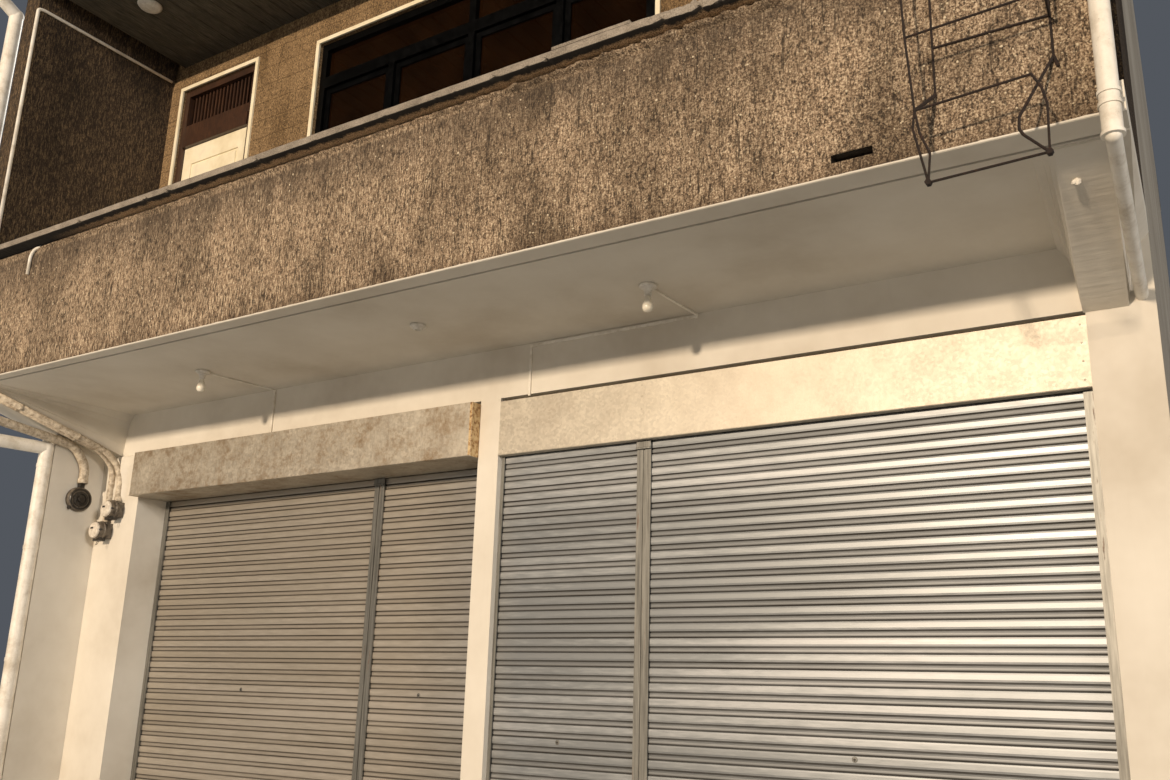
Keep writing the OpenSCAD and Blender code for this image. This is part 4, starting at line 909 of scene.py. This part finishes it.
def board(x0, x1, y0, y1, drop):
    c = 8
    outline = [(x0, EAVE_Z[0] + c), (x0 + c, EAVE_Z[0]), (x1 - c, EAVE_Z[0]), (x1, EAVE_Z[0] + c),
               (x1, EAVE_Z[1]), (x0, EAVE_Z[1])]
    start = len(points)
    for y in (y0, y1):
        lift = drop if y == y0 else 0.0
        points.extend(at(x, y, min(z + lift * (z < EAVE_Z[1]), EAVE_Z[1])) for x, z in outline)
    n = len(outline)
    faces.extend((start + k, start + k + n, start + (k + 1) % n + n, start + (k + 1) % n) for k in range(n))
    faces.append(tuple(start + k for k in range(n)))
    faces.append(tuple(start + n + k for k in range(n))[::-1])


count = int((EAVE_X[1] - EAVE_X[0]) / BOARD_PITCH)
for i in range(count):
    x0 = EAVE_X[0] + (EAVE_X[1] - EAVE_X[0]) * i / count
    x1 = EAVE_X[0] + (EAVE_X[1] - EAVE_X[0]) * (i + 1) / count - 4
    if chance.random() < 0.3:
        cut = chance.uniform(-900, -300)
        board(x0, x1, EAVE_Y[0], cut - 1.5, chance.uniform(0, 3))
        board(x0, x1, cut + 1.5, EAVE_Y[1], chance.uniform(0, 3))
    else:
        board(x0, x1, EAVE_Y[0], EAVE_Y[1], chance.uniform(0, 4))
make_piece("eave_boarding", points, faces, finishes["eave_boards"], "eave_boards", replaces=["eave_soffit"])

# %% [markdown]
# ## Corrugated roof
#
# The roof is laid with corrugated zinc-coated sheets, 76 mm from crest to crest and 18 mm deep, screwed to the
# purlins through their crests. In CAD they are one block with a plain zigzag. Here each slope is a sheet whose
# height follows a cosine across the slope. Halfway up, the upper length laps over the lower one.

# %% Roof sheets
FRONT_EAVE_Y, ROOF_PITCH, ROOF_THICK = 1375, 12, 23.2
EAVE_TOP_Z, SLOPE_MM = 7026.7, 4400
REAR_EAVE_Y = 7425
CRESTS = 106
CREST_MM = FRONT_W / CRESTS  # about 76 mm


def roof_point(x, run, lift, side):
    """A place on a slope: run is measured up the slope from the eave, lift is square to it."""
    tilt = math.radians(ROOF_PITCH)
    y = run * math.cos(tilt) - lift * math.sin(tilt)
    z = run * math.sin(tilt) + lift * math.cos(tilt)
    y = -FRONT_EAVE_Y + y if side < 0 else REAR_EAVE_Y - y
    return at(x, y, EAVE_TOP_Z + z)


def sheet_lift(x, run):
    lap = 1.6 if run > SLOPE_MM / 2 else 0.0
    return 4.0 + lap + (ROOF_THICK - 6.0) * (0.5 + 0.5 * math.cos(2 * math.pi * x / CREST_MM))


points, faces = [], []
across = CRESTS * 8
runs = [0, 500, 1100, 1700, 2170, 2200, 2203, 2700, 3300, 3900, 4392]
for side in (-1, 1):
    start = len(points)
    for under in (0.0, -1.2):
        for run in runs:
            for i in range(across + 1):
                x = FRONT_W * i / across
                points.append(roof_point(x, run, sheet_lift(x, run) + under, side))
    n, layers = across + 1, len(runs)
    for layer in (0, 1):
        base = start + layer * layers * n
        for j in range(layers - 1):
            for i in range(across):
                quad = (base + j * n + i, base + j * n + i + 1, base + (j + 1) * n + i + 1, base + (j + 1) * n + i)
                faces.append(quad if (side < 0) == (layer == 0) else quad[::-1])
    for i in range(across):
        quad = (start + i, start + layers * n + i, start + layers * n + i + 1, start + i + 1)
        faces.append(quad if side < 0 else quad[::-1])
make_piece("corrugated_sheets", points, faces, finishes["roof_steel"], "roof_steel", smooth=True,
           replaces=["roof_sheets"])

# %% [markdown]
# ## Turned pieces
#
# Lampholders, bulbs, meters, rivets and screws are all round. A turned piece is a list of radii and heights, the
# profile that a lathe would cut, spun around an axis. One function adds such a form to lists of points and faces,
# so that many rivets can share one mesh.

# %% Spinning a profile
def spin(points, faces, centre, axis, profile, sides=24):
    """Adds a turned form. Profile is (radius, height) in millimetres, height along the axis from the centre."""
    axis = Vector(axis).normalized()
    side = axis.orthogonal().normalized()
    other = axis.cross(side)
    start = len(points)
    middle = at(*centre)
    for radius, height in profile:
        for k in range(sides):
            a = 2 * math.pi * k / sides
            points.append(middle + (side * math.cos(a) + other * math.sin(a)) * radius / 1000 + axis * height / 1000)
    for j in range(len(profile) - 1):
        for k in range(sides):
            a, b = start + j * sides + k, start + j * sides + (k + 1) % sides
            faces.append((a, b, b + sides, a + sides))
    faces.append(tuple(start + k for k in range(sides))[::-1])
    faces.append(tuple(start + (len(profile) - 1) * sides + k for k in range(sides)))


DOME = [(5.0, 0.0), (4.6, 1.2), (3.4, 2.3), (1.6, 2.9)]  # a pop rivet's head, 10 mm across
print("a rivet's profile:", DOME)

# %% [markdown]
# ## Lampholders and bulbs
#
# Three plain batten holders hang under the balcony, and the middle one has no bulb. A holder is a round rose with
# a rolled rim and a ribbed neck. The bulb is the common pear shape of 60 mm. Both profiles are drawn downwards
# from the soffit.

# %% Holders and bulbs
LAMPS = [(2154, -570), (4180, -600), (5725, -512)]
ROSE = [(46, 0), (49.5, 3), (50, 8), (48, 14), (44, 17.5), (30, 19), (29, 24), (26, 30), (22, 32)]
NECK = [(22, 32), (21, 36), (21, 42), (19.5, 43), (19.5, 46), (21, 47), (21, 55), (19.5, 56), (19.5, 58), (21, 60),
        (20.5, 61.8), (16, 62)]
EMPTY_MOUTH = [(22, 32), (19, 32), (18, 24), (4, 22)]
points, faces = [], []
for i, (x, y) in enumerate(LAMPS):
    spin(points, faces, (x, y, SOFFIT_Z), (0, 0, -1), ROSE + (EMPTY_MOUTH[1:] if i == 1 else NECK[1:]), 40)
make_piece("batten_lampholders", points, faces, finishes["holder_plastic"], "holder_plastic", smooth=True,
           replaces=["lampholders"])

PEAR = [(13, 62), (14, 66), (15.5, 74), (19, 84), (24, 96), (28, 108), (29.8, 120), (29.5, 130), (27, 139),
        (22, 147), (14, 152), (5, 153.8)]
points, faces = [], []
for i in (0, 2):
    spin(points, faces, (*LAMPS[i], SOFFIT_Z), (0, 0, -1), PEAR, 40)
make_piece("opal_bulbs", points, faces, finishes["bulb_glass"], "bulb_glass", smooth=True, replaces=["lamp_bulbs"])

# %% [markdown]
# ## Bent rods and pipes
#
# A wire, a rod or a conduit is a circle carried along a line. At each point the circle is turned into the line's
# direction with the smallest turn from the one before, which keeps the tube from twisting. Corners are rounded
# by an arc of a few points first.

# %% Tubes along a line
def rounded(corners, radius, steps=5):
    """Replaces each inner corner of a line by a short curve that begins radius before it."""
    corners = [Vector(c) for c in corners]
    line = [corners[0]]
    for before, corner, after in zip(corners, corners[1:], corners[2:]):
        r = min(radius, (before - corner).length * 0.45, (after - corner).length * 0.45)
        a = corner + (before - corner).normalized() * r
        b = corner + (after - corner).normalized() * r
        for k in range(steps + 1):
            t = k / steps
            line.append(a * (1 - t) ** 2 + corner * 2 * t * (1 - t) + b * t ** 2)
    return line + [corners[-1]]


def tube(points, faces, line, radius, sides=10):
    """Adds a round tube along a line of drawing millimetres. Radius is one number or one for each point."""
    radii = radius if isinstance(radius, (list, tuple)) else [radius] * len(line)
    start = len(points)
    side = None
    for i, p in enumerate(line):
        direction = (line[min(i + 1, len(line) - 1)] - line[max(i - 1, 0)]).normalized()
        side = direction.orthogonal() if side is None else side - direction * side.dot(direction)
        side.normalize()
        other = direction.cross(side)
        for k in range(sides):
            a = 2 * math.pi * k / sides
            points.append(at(*(p + (side * math.cos(a) + other * math.sin(a)) * radii[i])))
    for i in range(len(line) - 1):
        for k in range(sides):
            a, b = start + i * sides + k, start + i * sides + (k + 1) % sides
            faces.append((a, b, b + sides, a + sides))
    faces.append(tuple(start + k for k in range(sides))[::-1])
    faces.append(tuple(start + (len(line) - 1) * sides + k for k in range(sides)))


print("a rounded corner of three points has", len(rounded([(0, 0, 0), (0, 0, 100), (100, 0, 100)], 30)), "points")

# %% [markdown]
# ## Conduits on the left fin and on the parapet
#
# A white conduit of 26 mm climbs the fin's front edge and turns back along its inner face under the eave. A short
# length of a 22 mm conduit stands on the parapet beside it and bends into the wall. Both lie against the
# roughcast.

# %% Conduit pieces
points, faces = [], []
on_fin = [(414, -1222, 4549), (414, -1222, 6655), (414, -1180, 6668), (414, -30, 6668)]
on_parapet = [(886, -1195, 4281), (888, -1195, 4425), (930, -1195, 4469), (985, -1182, 4480)]
tube(points, faces, rounded(on_fin, 40), 13, 12)
tube(points, faces, rounded(on_parapet, 30), 11, 12)
make_piece("fin_conduit", points, faces, finishes["pipe_plastic"], "pipe_plastic", smooth=True)

# %% [markdown]
# ## Rivets, seams and keyholes
#
# The sheet of the right box is in two lengths, and the second laps over the first at 1.03 m. Pop rivets hold the
# lap and the ends. Each curtain has a round lock plate with a keyhole, low in its middle. The lower edges of both
# boxes are hemmed, which shows as a thin round lip.

# %% Box details and lock details
BOX_FOOT, BOX_TOP = 2831, 3181
points, faces = [], []
for z in (2858, 2935, 3011, 3088, 3155):
    spin(points, faces, (5399, -0.8, z), (0, -1, 0), DOME, 10)
for z in (2870, 2960, 3050, 3140):
    spin(points, faces, (7772, 0, z), (0, -1, 0), DOME, 10)
    spin(points, faces, (4392, 0, z), (0, -1, 0), DOME, 10)
for z in (2865, 3010, 3150):
    spin(points, faces, (4172, -80.0, z), (0, -1, 0), DOME, 10)
for x0, x1, y in ((4361, 7799, 0), (722, 4199, -80)):
    hem = [Vector((x0, y - 2.2, 2833)), Vector(((x0 + x1) / 2, y - 2.2, 2831.6)), Vector((x1, y - 2.2, 2833))]
    tube(points, faces, hem, 3.0, 8)
seam = [(5389, BOX_TOP), (5412, BOX_TOP), (5412, BOX_FOOT), (5389, BOX_FOOT)]
start = len(points)
points.extend(at(x, y, z) for y in (-1.0, 0.4) for x, z in seam)
faces.extend([tuple(start + k for k in (0, 3, 2, 1)), tuple(start + k for k in (0, 1, 5, 4)),
              tuple(start + k for k in (1, 2, 6, 5)), tuple(start + k for k in (2, 3, 7, 6)),
              tuple(start + k for k in (3, 0, 4, 7))])
make_piece("box_rivets_and_hems", points, faces, finishes["galvanised_sheet"], "galvanised_sheet", smooth=False)

KEYHOLES = [(1867, 262, 1355), (3595, 262, 1355), (4848, 52, 1131), (6590, 52, 1131)]
points, faces = [], []
for x, y, z in KEYHOLES:
    spin(points, faces, (x, y, z), (0, -1, 0), [(14, 0), (14, 1.5), (12.5, 2.4), (7, 2.6)], 20)
make_piece("keyhole_plates", points, faces, finishes["guide_steel"], "guide_steel", smooth=False)
points, faces = [], []
for x, y, z in KEYHOLES:
    spin(points, faces, (x, y - 2.7, z), (0, -1, 0), [(6.0, 0), (6.0, 0.5), (3.0, 0.6)], 14)
    spin(points, faces, (x, y - 2.7, z - 8), (0, -1, 0), [(2.6, 0), (2.6, 0.5), (1.0, 0.6)], 10)
make_piece("keyholes", points, faces, dark_plastic, "guide_steel")

# %% [markdown]
# ## Rust at the end of the left box
#
# The left box stands 80 mm proud of the centre post, and its folded end has lost its zinc along the cut edge. A thin
# plate over that end carries the same cream dust with rust spots about 26 mm across.

# %% Rusty box end
finish, tree, shader, place = start_finish("rust_spotted_zinc", roughness=0.7, ior=1.5)
spots = add(tree, "TexNoise", {"Vector": place, "Scale": per(26), "Detail": 6.0, "Roughness": 0.7})
spotted = add(tree, "ValToRGB", {"Fac": spots}, stops=[(0.44, "#c9b084"), (0.56, "#a27c4c"), (0.66, "#4b2f1b")])
tree.links.new(spotted.outputs[0], shader.inputs["Base Color"])
pitted = add(tree, "Bump", {"Height": spots, "Strength": 0.5, "Distance": 0.001})
tree.links.new(pitted.outputs[0], shader.inputs["Normal"])
points, faces = [], []
for z in (BOX_FOOT, 2900, 2970, 3040, 3110, BOX_TOP):
    bow = 0.8 + 0.6 * noise.noise(Vector((z / 60, 0.0, 0.0)))
    points.extend([at(4200.2, -0.5, z), at(4200.2 + bow, -4, z), at(4200.2 + bow, -77, z), at(4198.5, -80.6, z),
                   at(4180, -80.8, z), at(4180, -80.1, z)])
for j in range(5):
    faces.extend((j * 6 + k, j * 6 + k + 1, j * 6 + k + 7, j * 6 + k + 6) for k in range(5))
make_piece("rusty_box_end", points, faces, finish, "galvanised_sheet")

# %% [markdown]
# ## Dirt and painted shade in the groove and in the drain
#
# A drip groove runs under the balcony's front edge, and a narrow drain goes through the parapet's foot. Both are
# dark: partly black dirt, partly shade. A shadow alone leaves them too pale, so each gets a thin black lining of its
# own, which paints that shade in: one strip along the groove's roof, and an open box in the drain.

# %% Linings
points = [at(3, -1123.5, 3546.4), at(3, -1106.5, 3546.4), at(8017, -1022.5, 3546.4), at(8017, -1039.5, 3546.4),
          at(3, -1123.5, 3546.9), at(3, -1106.5, 3546.9), at(8017, -1022.5, 3546.9), at(8017, -1039.5, 3546.9)]
faces = [(0, 1, 2, 3), (7, 6, 5, 4), (0, 3, 7, 4), (1, 5, 6, 2)]
x0, x1 = 6985, 7163
start = len(points)
for y, low, high in ((-1177, 3606, 3641), (-1110, 3622, 3652)):
    points.extend([at(x0, y, low), at(x1, y, low), at(x1, y, high), at(x0, y, high)])
open_box = [(0, 4, 5, 1), (1, 5, 6, 2), (2, 6, 7, 3), (3, 7, 4, 0), (4, 7, 6, 5)]
faces.extend(tuple(start + k for k in face) for face in open_box)
make_piece("dirt_and_painted_shade_in_groove_and_drain", points, faces, black_dirt_and_painted_shade, "white_plaster")

# %% [markdown]
# ## One coat of plaster over the right column
#
# The right column and the end of the party wall beside it were plastered in one go, so the street sees one wide
# column without a joint. A sheet of points 1.5 to 4 mm in front of both carries that coat. A broad noise lets it
# swell and sink the way a hand-floated face does.

# %% Right plaster coat
def sheet(name, x_range, z_range, step, y_at, finish, slot, smooth=True):
    """A sheet over a part of the front. y_at gives its depth at each x and z."""
    nx = max(2, round((x_range[1] - x_range[0]) / step))
    nz = max(2, round((z_range[1] - z_range[0]) / step))
    points, faces = [], []
    for i in range(nx + 1):
        for j in range(nz + 1):
            x = x_range[0] + (x_range[1] - x_range[0]) * i / nx
            z = z_range[0] + (z_range[1] - z_range[0]) * j / nz
            points.append(at(x, y_at(x, z), z))
    for i in range(nx):
        for j in range(nz):
            a = i * (nz + 1) + j
            faces.append((a, a + nz + 1, a + nz + 2, a + 1))
    return make_piece(name, points, faces, finish, slot, smooth)


def right_coat(x, z):
    swell = 1.2 * noise.noise(Vector((x / 150, z / 420, 1.0)))
    edge = min(1.0, (x - 7801) / 25, (8099 - x) / 25)
    return -2.4 * max(0.1, edge) - swell * max(0.0, edge)


sheet("right_column_plaster", (7801, 8099), (3, 3536), 30, right_coat, finishes["white_plaster"], "white_plaster")

# %% [markdown]
# ## Meters and an empty meter base
#
# Two round glass-fronted meters sit on the left column, one above the other. Each has a dark body, a pale face
# with the window of its counter, a sealing knob and a terminal cover below. On the pier's side an older base has
# lost its meter: a round dark pan with rings, and a black neck at its top. All are turned forms with a few plates.

# %% Meters
def plate(points, faces, low, high):
    """Adds a small plate with chamfered front edges between two corners; its front looks along -y."""
    (x0, y0, z0), (x1, y1, z1) = low, high
    c = min(2.0, (y1 - y0) / 2)
    start = len(points)
    points.extend(at(*p) for p in [(x0, y1, z0), (x1, y1, z0), (x1, y1, z1), (x0, y1, z1),
                                   (x0, y0 + c, z0), (x1, y0 + c, z0), (x1, y0 + c, z1), (x0, y0 + c, z1),
                                   (x0 + c, y0, z0 + c), (x1 - c, y0, z0 + c),
                                   (x1 - c, y0, z1 - c), (x0 + c, y0, z1 - c)])
    for low_ring, high_ring in ((0, 4), (4, 8)):
        faces.extend((start + low_ring + k, start + low_ring + (k + 1) % 4, start + high_ring + (k + 1) % 4,
                      start + high_ring + k) for k in range(4))
    faces.extend([tuple(start + k for k in (8, 9, 10, 11)), tuple(start + k for k in (3, 2, 1, 0))])


METERS = [(495, 2735), (378, 2570)]
body, dark, face = ([], []), ([], []), ([], [])
for x, z in METERS:
    plate(*body, (x - 58, -46, z - 60), (x + 58, -0.5, z + 60))
    spin(*body, (x, 0, z), (0, -1, 0), [(70, 44), (70, 58), (78, 62), (78, 70), (72, 74), (71, 100), (68, 108),
                                        (58, 112)], 40)
    spin(*face, (x, 0, z), (0, -1, 0), [(64, 110), (64, 118), (60, 125), (40, 128.5), (8, 129.5)], 40)
    plate(*dark, (x - 34, -129.8, z + 8), (x + 6, -126, z + 26))
    spin(*dark, (x + 62, -92, z + 2), (0.4, -1, 0), [(9, 0), (9, 20), (6, 24)], 12)
    plate(*dark, (x - 44, -92, z - 84), (x + 44, -40, z - 58))
    seal_wire = [(x + 30, -80, z - 82), (x + 34, -96, z - 112), (x + 14, -98, z - 120), (x + 8, -80, z - 84)]
    tube(*dark, rounded(seal_wire, 14), 2.2, 6)
bx, by, bz = 200, -185, 2820
spin(*body, (bx, by, bz), (1, 0, 0), [(99, 0.5), (99, 30), (95, 40), (86, 42)], 40)
spin(*dark, (bx, by, bz), (1, 0, 0), [(88, 41), (84, 47), (72, 47), (70, 41), (62, 41), (60, 50), (42, 52), (40, 45),
                                      (28, 45), (26, 55), (8, 57)], 40)
plate(*dark, (bx + 4, by - 20, bz + 84), (bx + 40, by + 20, bz + 128))
pebble(*dark, bx + 26, by - 74, bz - 74, 44, random.Random(3))
grimy_body = moulded("grimy_meter_body", "#3b332a", "#6d6355", 0.5, 1.5)
make_piece("meter_bodies", *body, grimy_body, "meter_plastic", smooth=False, replaces=["electricity_meters"])
make_piece("meter_dark_parts", *dark, dark_plastic, "meter_plastic", smooth=False)
make_piece("meter_faces", *face, pale_plastic, "meter_plastic", smooth=False)

# %% [markdown]
# ## Conduits to the meters
#
# Three pipes come in under the left bracket and turn down. Two feed the meters, and a thicker one bends like a
# swan's neck to the old base. They are soft-bent from PVC, so their corners are round. The plasterer buried
# them halfway where they reach the wall, which a lumpy sheet over the corner shows.

# %% Bent conduits and the plaster over them
points, faces = [], []
wall_y = -27.5
RUNS = [([(398, -1067, 3490), (434, -150, 3211), (460, -50, 3103), (495, wall_y, 2983), (495, wall_y, 2806)], 25, 90),
        ([(338, -1067, 3490), (378, -150, 3211), (378, wall_y, 3083), (378, wall_y, 2641)], 25, 90),
        ([(238, -1067, 3458), (238, -987, 3335), (238, -290, 3241), (238, -185, 3090), (238, -185, 2949)], 35, 130)]
for corners, radius, bend in RUNS:
    line = rounded(corners, bend, 8)
    tube(points, faces, line, radius, 16)
    end = corners[-1]
    socket = [(radius + 0.5, 0), (radius + 3, 1), (radius + 3, 36), (radius + 0.5, 38)]
    spin(points, faces, end, (0, 0, 1), socket, 16)
for corners, radius, _ in RUNS[:2]:
    for share in (0.25, 0.75):
        spot = Vector(corners[0]).lerp(Vector(corners[1]), share)
        spin(points, faces, spot, Vector(corners[1]) - Vector(corners[0]),
             [(radius + 0.4, -11), (radius + 2.2, -10), (radius + 2.2, 10), (radius + 0.4, 11)], 16)
dirty_pvc = moulded("dirty_conduit_plastic", "#8d7e6a", "#cfc3ae", 0.6, 1.5)
make_piece("bent_conduits", points, faces, dirty_pvc, "pipe_plastic", smooth=True, replaces=["meter_conduits"])


def buried(x, z):
    over_one = math.exp(-((x - 495) / 42) ** 2) * min(1.0, max(0.0, (z - 2800) / 60))
    over_two = math.exp(-((x - 378) / 38) ** 2) * min(1.0, max(0.0, (z - 2640) / 80)) * 0.7
    shoulder = math.exp(-((x - 560) / 60) ** 2 - ((z - 3120) / 90) ** 2)
    lumps = noise.fractal(Vector((x / 45, z / 60, 5.0)), 0.9, 2.0, 3)
    edge = max(0.0, min(1.0, (x - 300) / 40, (640 - x) / 40, (3190 - z) / 12, (z - 2600) / 40))
    return -0.6 - edge * max(0.0, 40 * max(over_one, over_two) + 26 * shoulder + 5 * lumps - 2)


sheet("plaster_over_conduits", (300, 640), (2600, 3190), 9, buried, finishes["white_plaster"], "white_plaster")

# %% [markdown]
# ## Caps, straps and the eave light
#
# The two posts between the curtains end in a folded plate under the box. Straps hold the pipes, and a broken stub
# of plaster stands out of the right bracket. The round fitting under the eave is a shallow turned glass dish.

# %% Small fittings
points, faces = [], []
for x0, x1, y in ((5350, 5442, 40), (3068, 3160, 250)):
    plate(points, faces, (x0 - 3, y - 9, 2786), (x1 + 3, y - 0.5, 2827))
    plate(points, faces, (x0 - 3, y - 14, 2779), (x1 + 3, y - 7, 2790))
make_piece("post_caps", points, faces, finishes["guide_steel"], "guide_steel")

points, faces = [], []
for z in (700, 1550, 2400, 3050):
    spin(points, faces, (180, -479.3, z), (0, 0, 1), [(50.6, -15), (53, -14), (53, 14), (50.6, 15)], 28)
    plate(points, faces, (112, -440, z - 14), (132, -425.5, z + 14))
make_piece("pipe_straps", points, faces, finishes["pipe_plastic"], "pipe_plastic", smooth=False)

points, faces = [], []
pebble(points, faces, 7887, -839, 3458, 40, random.Random(9))
pebble(points, faces, 7876, -846, 3456, 24, random.Random(10))
make_piece("plaster_stub", points, faces, finishes["white_plaster"], "white_plaster")

points, faces = [], []
spin(points, faces, (1016, -680, 6832), (0, 0, -1), [(94, 0.5), (94, 8), (88, 12), (86, 18), (78, 27), (58, 33),
                                                     (30, 35.5), (6, 35.9)], 40)
make_piece("eave_light_dish", points, faces, finishes["holder_plastic"], "holder_plastic", smooth=True,
           replaces=["eave_light"])

print("added so far:", added_triangles, "triangles")

# %% [markdown]
# ## Floor and light
#
# The building stands on a plain pale floor in soft studio light. The warm key softbox stands far in front and low,
# so that the balcony's shadow ends on the lintel. A cooler one stands far to the right and brightens the faces
# that look that way. A third serves the rear, and an even pale surrounding fills the rest.

# %% Floor, lights and surrounding
floor_finish, tree, shader, place = start_finish("plain_studio_floor", roughness=0.9)
shader.inputs["Base Color"].default_value = linear("#c3c6c8")
mesh = bpy.data.meshes.new("studio_floor")
HALF = 36  # metres from the floor's middle to its edge
mesh.from_pydata([(-HALF, -HALF, 0), (HALF, -HALF, 0), (HALF, HALF, 0), (-HALF, HALF, 0)], [], [(0, 1, 2, 3)])
mesh.materials.append(floor_finish)
floor = bpy.data.objects.new("studio_floor", mesh)
bpy.context.scene.collection.objects.link(floor)


def softbox(name, place, target, size, watts, colour):
    """A square soft light at a place, turned to a target. Places and size are in metres."""
    data = bpy.data.lights.new(name, "AREA")
    data.shape = "SQUARE"
    data.size = size
    data.energy = watts
    data.color = linear(colour)[:3]
    light = bpy.data.objects.new(name, data)
    light.location = place
    light.rotation_euler = (Vector(target) - Vector(place)).to_track_quat("-Z", "Y").to_euler()
    bpy.context.scene.collection.objects.link(light)
    return light


softbox("key_softbox", (-1.0, -48.0, 11.4), (0.0, -2.0, 3.6), 2.4, 20500, "#ffe8cc")
softbox("fill_softbox", (58.0, -27.0, 12.0), (0.0, -2.0, 3.0), 10.0, 16500, "#fdf4ea")
softbox("rear_softbox", (-20.0, 34.0, 30.0), (0.0, 2.0, 4.0), 12.0, 17500, "#fff8ee")

world = bpy.data.worlds.new("studio_surrounding")
bpy.context.scene.world = world
world.use_nodes = True
background = world.node_tree.nodes["Background"]
background.inputs["Color"].default_value = linear("#d8e2f2")
background.inputs["Strength"].default_value = 0.125
bpy.context.scene.view_settings.view_transform = "Standard"

print("all added pieces:", added_triangles, "triangles")
